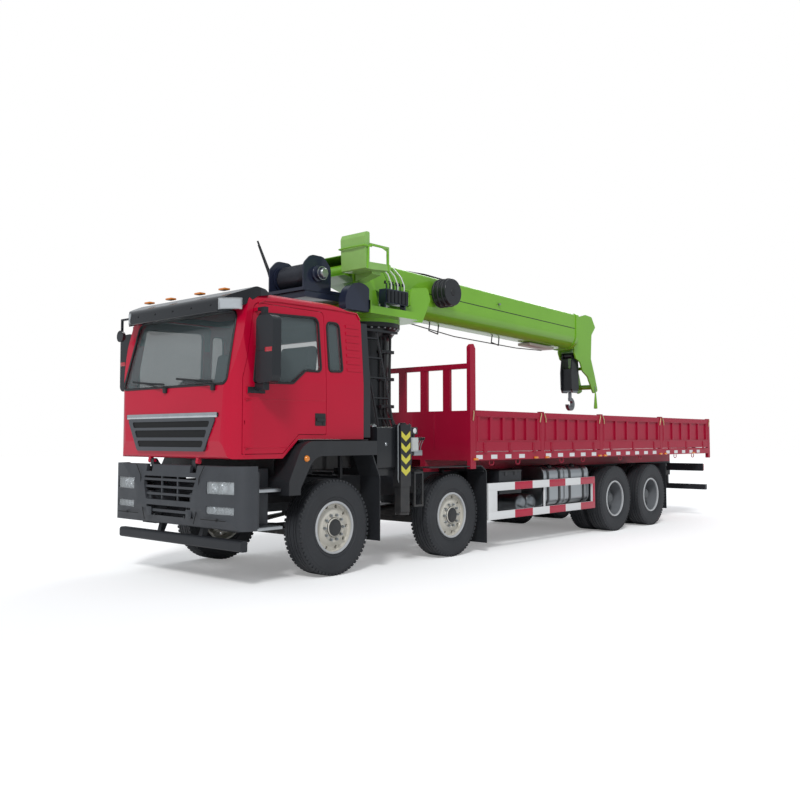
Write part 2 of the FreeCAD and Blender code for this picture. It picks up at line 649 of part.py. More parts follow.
shell_width = d.fender_outer_y - skirt_thick - d.fender_inner_y
shell = prism("fender_shell", "XZ_Plane", outer_arch + shell_arch, shell_width,
              (0, d.fender_inner_y + shell_width / 2, 0))
flap_width = d.flap_outer_y - d.flap_inner_y
flap_middle = (d.flap_outer_y + d.flap_inner_y) / 2
flap_x = axle_x[0] - d.flap_back - 22
front_flap = prism("front_flap", "XZ_Plane", [
    (flap_x, d.flap_1_bottom), (flap_x + 12, d.flap_1_bottom), (flap_x + 12, 1085, 120),
    (flap_x + 215, d.fender_top - wall), (flap_x + 195, d.fender_top - wall),
    (flap_x, 1100, 120),
], flap_width, (0, flap_middle, 0))
fender_bracket = fuse(
    "fender_bracket",
    box("fender_arm", 4210, 4250, d.rail_half_width - 60, d.fender_inner_y + 40, d.rail_top,
        d.rail_top + 30),
    box("fender_upright", 4210, 4250, d.fender_inner_y, d.fender_inner_y + 40, d.rail_top,
        d.fender_top - wall))
flap_2_x = axle_x[1] - d.flap_back - 22
second_guard_whole = fuse(
    "second_guard_whole",
    prism("second_flap", "XZ_Plane", [
        (flap_2_x, d.flap_2_bottom), (flap_2_x + 12, d.flap_2_bottom), (flap_2_x + 12, 1100, 60),
        (flap_2_x + 120, 1170, 60), (axle_x[1] + 560, 1170), (axle_x[1] + 560, 1182),
        (flap_2_x + 112, 1182, 60), (flap_2_x, 1110, 60),
    ], flap_width, (0, flap_middle, 0)),
    box("second_arm", flap_2_x + 12, flap_2_x + 52, d.rail_half_width, d.flap_outer_y - 20,
        1094, 1130),
    box("second_hanger", flap_2_x + 12, flap_2_x + 52, d.rail_half_width,
        d.rail_half_width + 60, 960, 1130))
post_gap = 8
second_guard = cut("second_guard", second_guard_whole, box(
    "second_guard_notch", d.bed_front_x - d.headboard_post_width - post_gap,
    d.bed_front_x + post_gap, d.bed_half_width - d.post_depth - post_gap, d.flap_outer_y + 5,
    d.rail_end_bottom - post_gap, 1200))
rear_flap_x = axle_x[3] - d.tyre_radius - 70
rear_guard = fuse(
    "rear_guard",
    box("rear_flap", rear_flap_x - 10, rear_flap_x, 620, 1225, 260, 1090),
    box("rear_flap_arm", rear_flap_x - 50, rear_flap_x - 10, d.rail_half_width, 1225, 1040,
        1080))
piece("mudguards", both("guards_both", fuse("front_fender", skirt, shell, front_flap,
                                            fender_bracket), second_guard, rear_guard))

# Tanks and boxes along the left rail, exhaust box and urea tank along the right one.
tank_middle_z = d.tank_bottom + d.tank_height / 2
tank_outer_y = d.tank_inner_y + d.tank_depth


def long_tank(name, front, length, sign, bottom, height, corner):
    low, high = sorted((sign * d.tank_inner_y, sign * tank_outer_y), key=float)
    return prism(name, "YZ_Plane", [
        (low, bottom, corner), (high, bottom, corner), (high, bottom + height, corner),
        (low, bottom + height, corner),
    ], length, (front - length / 2, 0, 0))


def tank_arms(name, front, length, sign, low, high):
    arms = []
    for number, share in enumerate((0.22, 0.78)):
        x = front - length * share
        near, far = sorted((sign * d.rail_half_width, sign * (d.tank_inner_y + 20)), key=float)
        arms.append(box(f"{name}_arm_{number}", x - 25, x + 25, near, far, low, high))
    return arms


tank_2_front = d.tank_1_front_x - d.tank_1_length - d.tank_space
stores = []
for name, front, length, sign, bottom, height, corner in (
        ("fuel_tank_1", d.tank_1_front_x, d.tank_1_length, 1, d.tank_bottom, d.tank_height,
         d.tank_corner),
        ("fuel_tank_2", tank_2_front, d.tank_2_length, 1, d.tank_bottom, d.tank_height,
         d.tank_corner),
        ("battery_box", d.box_front_x, d.box_length, 1, d.box_bottom, d.box_height, 15),
        ("exhaust_box", d.box_front_x, 800, -1, 540, 540, 60),
        ("urea_tank", d.tank_1_front_x, 420, -1, 600, 460, 80)):
    solid = long_tank(name, front, length, sign, bottom, height, corner)
    low = bottom + height / 2 - 60
    stores.append(fuse(name + "_hung", solid,
                       *tank_arms(name, front, length, sign, low, low + 240)))
for number, x in enumerate((d.air_tank_x, d.air_tank_x - 2 * d.air_tank_radius - 20)):
    half = d.air_tank_length / 2
    reach = d.air_tank_radius
    reservoir = turned(f"air_tank_{number}", [
        (0, -half), (reach - 50, -half, 60), (reach, -half + 45, 60), (reach, half - 45, 60),
        (reach - 50, half, 60), (0, half),
    ], (x, d.tank_inner_y + half + 60, d.air_tank_z), "y")
    arm = box(f"air_tank_arm_{number}", x - 30, x + 30, d.rail_half_width,
              d.tank_inner_y + 120, d.air_tank_z + 60, rail_bottom + 60)
    stores.append(fuse(f"air_tank_hung_{number}", reservoir, arm))
piece("tanks", fuse("tank_set", *stores))

# Guard rails: side guards, the front bar under the bumper, and the rear bar.
guard_in = d.guard_outer_y - d.guard_wall
side_bars = []
for name, low in (("lower", d.guard_bottom), ("upper", d.guard_top - d.guard_rail_height)):
    side_bars.append(box(f"{name}_guard_rail", d.guard_rear_x, d.guard_front_x, guard_in,
                         d.guard_outer_y, low, low + d.guard_rail_height))
for name, rear, front in (("front", d.guard_front_x - 210, d.guard_front_x),
                          ("rear", d.guard_rear_x, d.guard_rear_x + 70)):
    side_bars.append(box(f"{name}_guard_plate", rear, front, guard_in, d.guard_outer_y,
                         d.guard_bottom, d.guard_top))
for number, x in enumerate((d.guard_front_x - 190, d.tank_1_front_x + 38,
                            d.guard_rear_x + 45)):
    side_bars.append(box(f"guard_post_{number}", x - 18, x + 18, guard_in - 36, guard_in,
                         d.guard_bottom, d.guard_top))
    side_bars.append(box(f"guard_arm_{number}", x - 18, x + 18, d.rail_half_width, guard_in,
                         rail_bottom + 70, rail_bottom + 130))
side_guard = both("side_guards", *side_bars)
bar_side = [
    (d.front_bar_x - d.bar_depth / 2, d.front_bar_bottom, 15),
    (d.front_bar_x + d.bar_depth / 2, d.front_bar_bottom, 30),
    (d.front_bar_x + d.bar_depth / 2, d.front_bar_bottom + d.front_bar_height, 30),
    (d.front_bar_x - d.bar_depth / 2, d.front_bar_bottom + d.front_bar_height, 15),
]
front_bar = prism("front_bar", "XZ_Plane", bar_side, 2 * d.front_bar_half_width)
hanger = prism("front_bar_hanger", "XZ_Plane", [
    (d.front_bar_x - 30, d.front_bar_bottom + 40), (d.front_bar_x + 10, d.front_bar_bottom + 60),
    (d.front_bar_x - 60, rail_bottom - 80, 60), (d.rail_front_x - 10, rail_bottom),
    (d.rail_front_x - 130, rail_bottom), (d.front_bar_x - 140, rail_bottom - 130, 60),
], 60, (0, d.rail_half_width - 35, 0))
rear_bar = box("rear_bar", d.rear_bar_x - d.bar_depth / 2, d.rear_bar_x + d.bar_depth / 2,
               -d.rear_bar_half_width, d.rear_bar_half_width, d.rear_bar_bottom,
               d.rear_bar_bottom + d.rear_bar_height)
rear_parts = both(
    "rear_brackets",
    box("rear_bar_arm", d.rear_bar_x - 30, d.rear_bar_x + 30, d.rail_half_width - 50,
        d.rail_half_width, d.rear_bar_bottom + 20, rail_bottom),
    box("tail_lamp_plate", tail_x - 10, tail_x, d.rail_half_width, 1180, 895, 1045))
piece("guard_rails", fuse("guard_set", side_guard, front_bar, both("front_hangers", hanger),
                          rear_bar, rear_parts))

# Bed: runners, cross bearers, floor, side rails, posts and the tall headboard.
bed_length = d.bed_front_x - d.bed_rear_x
rail_inner_y = d.bed_half_width - d.post_depth
bed = [box("floor_plate", d.bed_rear_x, d.bed_front_x, -rail_inner_y, rail_inner_y, floor_bottom,
           d.floor_top)]
bearer_count = 17
for number in range(bearer_count):
    x = d.bed_rear_x + 60 + number * (bed_length - 160) / (bearer_count - 1)
    bed.append(box(f"bearer_{number}", x - 30, x + 30, -rail_inner_y, rail_inner_y,
                   d.side_rail_bottom + 10, floor_bottom))
bed_sides = [
    box("runner", d.rail_rear_x, d.bed_front_x, d.rail_half_width - 85, d.rail_half_width,
        d.rail_top, d.side_rail_bottom + 10),
    prism("side_rail", "YZ_Plane", [
        (rail_inner_y, d.side_rail_bottom), (d.bed_half_width, d.side_rail_bottom),
        (d.bed_half_width, d.floor_top), (rail_inner_y, d.floor_top),
        (rail_inner_y, d.floor_top - 8), (d.bed_half_width - 8, d.floor_top - 8),
        (d.bed_half_width - 8, d.side_rail_bottom + 8), (rail_inner_y, d.side_rail_bottom + 8),
    ], bed_length, ((d.bed_front_x + d.bed_rear_x) / 2, 0, 0)),
]
post_top = d.gate_top + 12
for name, x in (("1", d.post_1_x), ("2", d.post_2_x), ("3", d.post_3_x)):
    bed_sides.append(box("bed_post_" + name, x - d.post_width / 2, x + d.post_width / 2,
                         rail_inner_y, d.bed_half_width, d.side_rail_bottom, post_top))
bed_sides.append(box("bed_post_rear", d.bed_rear_x, d.bed_rear_x + d.post_width, rail_inner_y,
                     d.bed_half_width, 1160, post_top))
head_rear_x = d.bed_front_x - d.headboard_post_width
bed_sides.append(prism("headboard_post", "XZ_Plane", [
    (head_rear_x, d.rail_end_bottom, 12), (d.bed_front_x, d.rail_end_bottom, 12),
    (d.bed_front_x, d.headboard_post_top - 40, 20), (d.bed_front_x - 45,
                                                     d.headboard_post_top, 20),
    (head_rear_x + 40, d.headboard_post_top, 20), (head_rear_x, d.headboard_post_top - 60, 20),
], d.post_depth, (0, d.bed_half_width - d.post_depth / 2, 0)))
head_in_x = d.bed_front_x - d.headboard_thick
bed.append(box("headboard_panel", d.bed_front_x - 22, d.bed_front_x, -rail_inner_y, rail_inner_y,
               d.side_rail_bottom, d.headboard_panel_top))
for name, low, high in (("low", floor_bottom, d.floor_top + 70),
                        ("middle", d.headboard_panel_top - 80, d.headboard_panel_top),
                        ("top", d.headboard_rail_top - 70, d.headboard_rail_top)):
    bed.append(box(f"headboard_{name}_rail", head_in_x, d.bed_front_x, -rail_inner_y,
                   rail_inner_y, low, high))
for number in range(5):
    y = (number - 2) * d.stake_pitch
    bed.append(box(f"stake_{number}", head_in_x + 10, d.bed_front_x - 4, y - d.stake_width / 2,
                   y + d.stake_width / 2, d.floor_top, d.headboard_rail_top - 10))

# Gates between the posts. Each hangs on pins low down outside the side rail.
hinge_y = d.bed_half_width + d.hinge_out
hinge_z = d.gate_bottom - d.hinge_drop
pin_radius = 5
gate_rows = (
    # number, front end, rear end, hinges
    (1, head_rear_x - d.gate_gap, d.post_1_x + d.post_width / 2 + d.gate_gap, 3),
    (2, d.post_1_x - d.post_width / 2 - d.gate_gap, d.post_2_x + d.post_width / 2 + d.gate_gap, 3),
    (3, d.post_2_x - d.post_width / 2 - d.gate_gap, d.post_3_x + d.post_width / 2 + d.gate_gap, 3),
    (4, d.post_3_x - d.post_width / 2 - d.gate_gap, d.bed_rear_x + d.post_width + d.gate_gap, 3),
)
knuckle_half = 30
hinge_span = 0.76


def gate(name, length, hinges):
    """A gate that stands along X on its hinge line, with its outer face towards +Y."""
    bottom = d.hinge_drop
    height = d.gate_top - d.gate_bottom
    panel = box(name + "_panel", -length / 2, length / 2, -d.hinge_out - d.gate_thick,
                -d.hinge_out, bottom, bottom + height)
    bays = 5
    rib = 60
    bay = (length - 2 * d.gate_border - (bays - 1) * rib) / bays
    recesses = []
    for number in range(bays):
        low = d.gate_border - length / 2 + number * (bay + rib)
        recesses.append(box(f"{name}_recess_{number}", low, low + bay,
                            -d.hinge_out - d.gate_recess, -d.hinge_out,
                            bottom + d.gate_foot, bottom + height - d.gate_border))
    solids = []
    bores = []
    for number in range(hinges):
        x = (number / (hinges - 1) - 0.5) * (length * hinge_span)
        solids.append(rod(f"{name}_knuckle_{number}", d.hinge_radius, 2 * knuckle_half,
                          x - knuckle_half, 0, 0, "x"))
        solids.append(box(f"{name}_strap_{number}", x - knuckle_half, x + knuckle_half,
                          -d.hinge_out, -d.hinge_out + 8, 2, 130))
        bores.append(rod(f"{name}_bore_{number}", pin_radius + d.running_gap,
                         2 * knuckle_half, x - knuckle_half, 0, 0, "x"))
    pierced = cut(name + "_pressed", panel, *recesses)
    return cut(name + "_bored", fuse(name + "_whole", pierced, *solids), *bores)


def hinge_pins(name, length, hinges):
    """The fixed half of the same hinges: a pin between two ears on the rail."""
    solids = []
    for number in range(hinges):
        x = (number / (hinges - 1) - 0.5) * (length * hinge_span)
        reach = knuckle_half + 1
        solids.append(rod(f"{name}_pin_{number}", pin_radius, 2 * reach + 16, x - reach - 8, 0, 0,
                          "x"))
        for end, low in (("rear", x - reach - 8), ("front", x + reach)):
            solids.append(box(f"{name}_ear_{end}_{number}", low, low + 8, -d.hinge_out, 8,
                              -12, 8))
    return fuse(name, *solids)


for number, front, rear, hinges in gate_rows:
    length = front - rear
    middle = (front + rear) / 2
    bed_sides.append(place(hinge_pins(f"gate_pins_{number}", length, hinges), middle, hinge_y,
                           hinge_z))
    left = place(gate(f"gate_{number}", length, hinges), middle, hinge_y, hinge_z)
    piece(f"gate_{number}_left", left)
    piece(f"gate_{number}_right", mirrored(f"gate_{number}_mirror", left))
tail_length = 2 * (rail_inner_y - d.gate_gap)
quarter = FreeCAD.Rotation(Vector(0, 0, 1), 90)
tail_hinge_x = d.hinge_radius - front_x
bed.append(place(hinge_pins("tail_pins", tail_length, 4), tail_hinge_x, 0, hinge_z, quarter))
piece("tailgate", place(gate("tailgate", tail_length, 4), tail_hinge_x, 0, hinge_z, quarter))
piece("bed_frame", fuse("bed", *bed, both("bed_sides", *bed_sides)))

# Cab. Three outlines meet in one rounded form, and a smaller copy of it hollows the cab.
front = d.cab_front_x


def cab_form(name, inset):
    rear = d.cab_rear_x + inset
    roof = d.cab_roof - inset
    half = d.cab_half_width - inset
    roof_half = d.cab_roof_half_width - inset
    side = prism(name + "_side", "XZ_Plane", [
        (front - 30 - inset, d.cab_bottom + inset, 40), (front - inset, d.cab_bottom + 180, 120),
        (front - 8 - inset, d.belt_z - 30, 200), (front - d.rake - 60 - inset, roof, 160),
        (rear + 480, roof, 700), (rear, roof - 120, 130), (rear, d.cab_arch_z + inset),
        (5105, d.cab_arch_z + inset), (d.cab_step_rear_x, d.cab_bottom + inset),
    ], 2.2 * d.cab_half_width)
    face = prism(name + "_face", "YZ_Plane", [
        (-half, 1200), (half, 1200), (half, d.belt_z + 60, 500), (roof_half, roof, 120),
        (-roof_half, roof, 120), (-half, d.belt_z + 60, 500),
    ], 2200, ((front + d.cab_rear_x) / 2, 0, 0))
    corner = d.cab_corner - inset
    plan = prism(name + "_plan", "XY_Plane", [
        (rear, -half), (front - inset, -half, corner), (front - inset, half, corner),
        (rear, half),
    ], 2400, (0, 0, 2300))
    return common(name, side, face, plan)


cab_outer = cab_form("cab_outer", 0)
cab_inner = cab_form("cab_inner", d.cab_wall)
tunnel_half = 450
tunnel_top = 1580
tunnel_front = 5420
tunnel = box("tunnel", d.cab_rear_x - 50, tunnel_front, -tunnel_half, tunnel_half, 1200,
             tunnel_top)
cover = box("tunnel_cover", d.cab_rear_x - 50, tunnel_front + d.cab_wall,
            -tunnel_half - d.cab_wall, tunnel_half + d.cab_wall, 1200, tunnel_top + d.cab_wall)
cab_walls = cut("cab_walls", cut("cab_over_tunnel", cab_outer, tunnel),
                cut("cab_space", cab_inner, cover))
sill = d.cab_wall + 2


def door_outline(gap):
    """The door's edge; gap is how far the opening stands clear of it."""
    low = d.cab_bottom + sill + d.door_gap - gap
    arch = d.cab_arch_z + sill + d.door_gap - gap
    return [
        (d.door_front_x + gap, low), (d.door_front_x + gap, d.belt_z + 60, 200),
        (d.door_front_x - 165 + gap, d.door_top + gap, 80),
        (d.door_rear_x - gap, d.door_top + gap, 60), (d.door_rear_x - gap, arch, 20),
        (5105 - gap / 2, arch, 20), (d.cab_step_rear_x - gap / 2, low, 20),
    ]


door_reach = 320
door_y = d.cab_half_width - 60
windscreen_corners = [
    (-d.windscreen_half_width, d.belt_z, 60), (d.windscreen_half_width, d.belt_z, 60),
    (d.windscreen_half_width - 60, d.windscreen_top, 90),
    (60 - d.windscreen_half_width, d.windscreen_top, 90),
]
windscreen_cut = prism("windscreen_cut", "YZ_Plane", windscreen_corners, 440,
                       (front - 130, 0, 0))
quarter_corners = [(4420, 2320, 40), (4640, 2310, 40), (4648, 2880, 60), (4450, 2880, 60)]
quarter_cut = prism("quarter_cut", "XZ_Plane", quarter_corners, 2.2 * d.cab_half_width,
                    (0, 0, 0))
rear_cut = prism("rear_cut", "YZ_Plane", [
    (-520, 2330, 60), (520, 2330, 60), (520, 2760, 60), (-520, 2760, 60),
], 300, (d.cab_rear_x, 0, 0))
door_opening = prism("door_opening", "XZ_Plane", door_outline(d.door_gap), door_reach,
                     (0, door_y, 0))
door_openings = both("door_openings", door_opening)
hinge_x = d.door_front_x - 20
door_pin_radius = 8
ribs = []
for number in range(7):
    z = 2330 + 85 * number
    y = d.cab_half_width - (z - 2180) * 0.0695
    ribs.append(box(f"pressed_rib_{number}", 4125, 4345, y - 14, y + 6, z, z + 34))
door_pin = rod("door_pin", door_pin_radius, 340, hinge_x, d.door_hinge_y, d.cab_bottom + 20)
tilt_lug = fuse(
    "tilt_lug",
    rod("tilt_eye", 26, 40, d.tilt_pin_x, d.rail_half_width + 6, d.tilt_pin_z, "y"),
    box("tilt_lug_plate", d.tilt_pin_x - 24, d.tilt_pin_x + 20, d.rail_half_width + 6,
        d.rail_half_width + 46, d.tilt_pin_z, d.cab_bottom + 30),
    rod("tilt_pin", d.tilt_pin_radius, 106, d.tilt_pin_x, d.rail_half_width - 60,
        d.tilt_pin_z, "y"))
cab_open = cut("cab_open", cab_walls, windscreen_cut, quarter_cut, rear_cut, door_openings)
piece("cab_shell", fuse("cab_body", cab_open, both("cab_fittings", *ribs, door_pin, tilt_lug)))

# Cab glass: a thin skin of the same form, where the windows are cut.
glass_in = 14
glass_skin = cut("glass_skin", cab_form("glass_outer", glass_in),
                 cab_form("glass_inner", glass_in + d.glass_thick))
panes = fuse("panes",
             prism("windscreen_pane", "YZ_Plane", windscreen_corners, 440, (front - 130, 0, 0)),
             prism("quarter_panes", "XZ_Plane", quarter_corners, 2.2 * d.cab_half_width,
                   (0, 0, 0)))
piece("cab_glass", common("cab_panes", glass_skin, panes))

# Doors, cut from the same walls, each with its mirror.
door_blank = cut("door_blank",
                 common("door_zone", cab_form("door_outer", 0),
                        prism("door_edge", "XZ_Plane", door_outline(0), door_reach,
                              (0, door_y, 0))),
                 cab_form("door_inner", d.cab_wall))
door_window = prism("door_window", "XZ_Plane", [
    (4762, 2300, 50), (5000, 2300, 70), (5190, 2150, 80), (5735, 2135, 30), (5625, 2880, 60),
    (4778, 2910, 70),
], 500, (0, d.cab_half_width, 0))
door_bore = rod("door_bore", door_pin_radius + d.running_gap, 400, hinge_x, d.door_hinge_y,
                d.cab_bottom)
mirror_x = 5690
mirror_parts = [
    prism("mirror_head", "YZ_Plane", [
        (1185, 2118, 55), (1450, 2130, 70), (1455, 2825, 80), (1185, 2830, 60),
    ], 115, (mirror_x, 0, 0)),
    box("mirror_foot", mirror_x - 90, mirror_x + 130, 1112, 1165, 2020, 2085),
    box("mirror_low_arm", mirror_x - 40, mirror_x + 40, 1140, 1290, 2050, 2122),
    box("mirror_top_arm", mirror_x - 45, mirror_x + 5, 1070, 1260, 2892, 2925),
    box("mirror_top_link", mirror_x - 45, mirror_x + 5, 1200, 1260, 2815, 2925),
]
left_door = fuse("left_door", cut("door_pierced", door_blank, door_window, door_bore),
                 *mirror_parts)
piece("door_left", left_door)
piece("door_right", mirrored("right_door", left_door))

# Dark trim on the cab: sun visor, grille, air guides behind the doors and the far front mirror.
visor_side = prism("visor_side", "XZ_Plane", [
    (5470, 3090), (5535, 3145, 60), (5660, d.visor_top, 120), (d.visor_front_x, 3045, 90),
    (d.visor_front_x + 28, d.visor_lip, 12), (d.visor_front_x - 10, d.visor_lip - 12),
    (5780, 2965, 60),
    (5640, 3060, 60),
], 2.1 * d.cab_half_width)
visor_plan = prism("visor_plan", "XY_Plane", [
    (5440, -d.cab_roof_half_width - 8, 30), (d.visor_front_x + 30, -d.cab_roof_half_width - 8, 300),
    (d.visor_front_x + 30, d.cab_roof_half_width + 8, 300), (5440, d.cab_roof_half_width + 8, 30),
], 600, (0, 0, 3000))
grille_plate = prism("grille_plate", "YZ_Plane", [
    (-640, 1410, 50), (640, 1410, 50), (840, 1772, 30), (-840, 1772, 30),
], 60, (front - 17, 0, 0))
grille_slots = [prism(f"grille_slot_{number}", "YZ_Plane", [
    (-half, low, 20), (half, low, 20), (half + 40, high, 20), (-half - 40, high, 20),
], 40, (front + 24, 0, 0)) for number, (half, low, high) in enumerate((
    (600, 1455, 1525), (655, 1560, 1640), (710, 1670, 1735)))]
guide = prism("air_guide", "YZ_Plane", [
    (1010, 1560), (1128, 1560), (1128, 2180), (1064, 2925), (960, 2925), (1010, 2180),
], 130, (d.cab_rear_x - 65, 0, 0))
spotter_y = d.cab_roof_half_width + 55
spotter = fuse(
    "front_spotter",
    box("spotter_arm", d.visor_front_x - 52, d.visor_front_x - 28,
        -spotter_y - 12, -d.cab_roof_half_width + 180, 2960, 2984),
    box("spotter_stem", d.visor_front_x - 52, d.visor_front_x - 28,
        -spotter_y - 12, -spotter_y + 12, 2790, 2984),
    turned("spotter_bowl", [(0, -30), (58, -18, 12), (70, 30), (0, 30)],
           (d.visor_front_x - 40, -spotter_y, 2775), "x"))
trim = cut("trim_raw", fuse("trim_blank", common("visor", visor_side, visor_plan), spotter,
                            cut("grille", grille_plate, *grille_slots)),
           cab_form("cab_again", 0))
piece("cab_trim", fuse("trim", trim, both("air_guides", guide)))

# What shows through the glass: two seats, the dashboard and the steering wheel.
inside = []
for side, sign in SIDES:
    low, high = sorted((sign * 380, sign * 860))
    middle = (low + high) / 2
    inside.append(prism(f"cab_seat_{side}", "XZ_Plane", [
        (4700, tunnel_top + d.cab_wall), (5180, tunnel_top + d.cab_wall), (5230, 1900, 60),
        (4830, 1880, 40), (4700, 2620, 60), (4560, 2620, 60), (4640, 1860, 60),
    ], high - low, (0, middle, 0)))
floor = d.cab_bottom + d.cab_wall
inside.append(prism("dashboard", "XZ_Plane", [
    (5540, floor), (5860, floor), (5885, 2060, 60), (5560, 2090, 70), (5430, 1960, 60),
    (5440, 1760, 40),
], 1880, (0, 0, 0)))
lean = FreeCAD.Rotation(Vector(0, 1, 0), -58)
wheel_ring = document.addObject("Part::Torus", "steering_ring")
wheel_ring.Radius1 = 225
wheel_ring.Radius2 = 15
inside.append(place(wheel_ring, 5290, 620, 2110, lean))
column_bar = rod("steering_column", 28, 330, 0, 0, -20)
inside.append(place(column_bar, 5270, 620, 2125, FreeCAD.Rotation(Vector(0, 1, 0), 122)))
spoke = box("steering_spoke", -8, 8, -220, 220, -12, 12)
inside.append(place(spoke, 5290, 620, 2110, lean))
piece("cab_interior", fuse("interior", *inside))

# The frame's two horns that carry the cab's tilt pins.
horn = prism("tilt_horn", "XZ_Plane", [
    (5480, 960), (5640, 960), (5938, 1240, 60), (5952, 1326, 24), (5898, 1326, 24),
    (5862, 1270, 60), (5600, d.rail_top), (5480, d.rail_top),
], 60, (0, d.rail_half_width - 30, 0))
horn_bore = rod("horn_bore", d.tilt_pin_radius + d.running_gap, 80, d.tilt_pin_x,
                d.rail_half_width - 70, d.tilt_pin_z, "y")
piece("frame_rails", fuse("frame", *members, both("tilt_horns", cut("horn_bored", horn,
                                                                     horn_bore))))

# Crane base: a box on the frame, two bays for the outriggers, the column and its fixed ring.
slide_gap = 0.5
bay_half = d.outrigger_width / 2 + slide_gap
bay_x = {"left": d.beam_box_front_x - d.beam_box_wall - bay_half}
bay_x["right"] = bay_x["left"] - 2 * bay_half - d.beam_box_wall
beam_box_rear_x = bay_x["right"] - bay_half - d.beam_box_wall
bay_bottom = d.beam_box_bottom + d.beam_box_wall
bay_top = bay_bottom + d.outrigger_height + 2 * slide_gap
beam_box_top = bay_top + d.beam_box_wall
base_rear_x = d.crane_x - 430
base_solids = [
    box("subframe", base_rear_x - 250, 3900, -d.rail_half_width, d.rail_half_width, d.rail_top,
        d.beam_box_bottom),
    box("beam_box", beam_box_rear_x, d.beam_box_front_x, -d.beam_box_half, d.beam_box_half,
        d.beam_box_bottom, beam_box_top),
    box("base_box", base_rear_x, beam_box_rear_x, -d.base_box_half, d.base_box_half,
        d.beam_box_bottom, d.base_box_top),
    turned("column", [
        (0, d.base_box_top - 60), (390, d.base_box_top - 60), (d.column_radius + 20, 1700),
        (d.column_radius, 1760), (d.column_radius, 2880), (d.ring_radius - 40, d.ring_bottom - 20),
        (d.ring_radius, d.ring_bottom), (d.ring_radius, d.ring_split), (0, d.ring_split),
    ], (d.crane_x, 0, 0)),
    prism("oil_tank", "YZ_Plane", [
        (700, 1180, 30), (1150, 1180, 30), (1150, 1690, 30), (700, 1690, 30),
    ], 330, (3690, 0, 0)),
    box("oil_tank_shelf", 3525, 3855, d.rail_half_width - 20, 1120, d.beam_box_bottom - 30, 1185),
]
rung_half = d.ladder_width / 2
ladder_low = beam_box_top - 10
ladder_lean = FreeCAD.Rotation(Vector(1, 0, 0), 13.5)
ladder_length = 1680
ladder = []
for end in (-1, 1):
    ladder.append(rod(f"ladder_rail_{end + 1}", d.ladder_tube, ladder_length, end * rung_half,
                      0, 0))
for number in range(6):
    ladder.append(box(f"rung_{number}", -rung_half, rung_half, -14, 14, 180 + 270 * number,
                      200 + 270 * number))
ladder_solid = place(fuse("ladder", *ladder), d.ladder_x, d.ladder_foot_y, ladder_low,
                     ladder_lean)
base_solids.append(ladder_solid)
base_solids.append(box("ladder_stay", d.crane_x, d.ladder_x + rung_half + 10, 515, 545, 2945,
                       2975))
base_solids.append(box("ladder_stay_root", d.crane_x - 20, d.crane_x + 60, 300, 545, 2945, 2975))
loop_y = 1198
loop_rear_x = 3062
loop_front_x = 3238
loop_tube = 25
loop_top = d.beam_box_bottom + 5
base_solids += [
    box("step_loop_rear", loop_rear_x, loop_rear_x + loop_tube, loop_y - 12, loop_y + 12, 700,
        loop_top),
    box("step_loop_front", loop_front_x - loop_tube, loop_front_x, loop_y - 12, loop_y + 12, 700,
        loop_top),
    box("step_loop_bottom", loop_rear_x, loop_front_x, loop_y - 12, loop_y + 12, 700,
        700 + loop_tube),
    box("step_loop_top", loop_rear_x, loop_front_x, loop_y - 12, loop_y + 12,
        loop_top - loop_tube, loop_top),
    box("step_loop_arm", loop_front_x - 50, loop_front_x, d.beam_box_half - 60, loop_y,
        loop_top - loop_tube, loop_top),
]
bays = [box(f"{side}_bay", bay_x[side] - bay_half, bay_x[side] + bay_half,
            -d.beam_box_half - 1, d.beam_box_half + 1, bay_bottom, bay_top)
        for side, sign in SIDES]
piece("crane_base", cut("base", fuse("base_whole", *base_solids), *bays))

# Outriggers: a sliding beam with the jack's housing at its end, and the leg inside it.
leg_gap = 0.5
leg_top = d.jack_top - 60
foot_thick = 25
outer_y = d.jack_inner_y + d.jack_depth
for side, sign in SIDES:
    x = bay_x[side]
    beam_low = bay_bottom + slide_gap
    sides = [sign * (d.jack_inner_y - d.outrigger_length), sign * (d.jack_inner_y + 4)]
    low, high = sorted(sides, key=float)
    beam = cut(f"outrigger_tube_{side}",
               box(f"outrigger_bar_{side}", x - d.outrigger_width / 2, x + d.outrigger_width / 2,
                   low, high, beam_low, beam_low + d.outrigger_height),
               box(f"outrigger_hollow_{side}", x - d.outrigger_width / 2 + 12,
                   x + d.outrigger_width / 2 - 12, low - 5,
                   high + 5, beam_low + 12, beam_low + d.outrigger_height - 12))
    low, high = sorted((sign * d.jack_inner_y, sign * outer_y), key=float)
    housing = box(f"jack_case_{side}", x - d.jack_width / 2, x + d.jack_width / 2, low, high,
                  d.jack_bottom, d.jack_top)
    inner_half = d.jack_width / 2 - d.jack_wall
    space = box(f"jack_space_{side}", x - inner_half, x + inner_half, low + d.jack_wall,
                high - d.jack_wall, d.jack_bottom - 10, leg_top + 30)
    piece("outrigger_beam_" + side, cut(f"outrigger_{side}", fuse(f"outrigger_whole_{side}", beam,
                                                                  housing), space))
    leg = box(f"leg_tube_{side}", x - inner_half + leg_gap, x + inner_half - leg_gap,
              low + d.jack_wall + leg_gap, high - d.jack_wall - leg_gap,
              d.jack_foot_z + foot_thick, leg_top)
    foot = rod(f"jack_foot_{side}", 88, foot_thick + 2, x, (low + high) / 2, d.jack_foot_z)
    piece("outrigger_leg_" + side, fuse(f"leg_{side}", leg, foot))

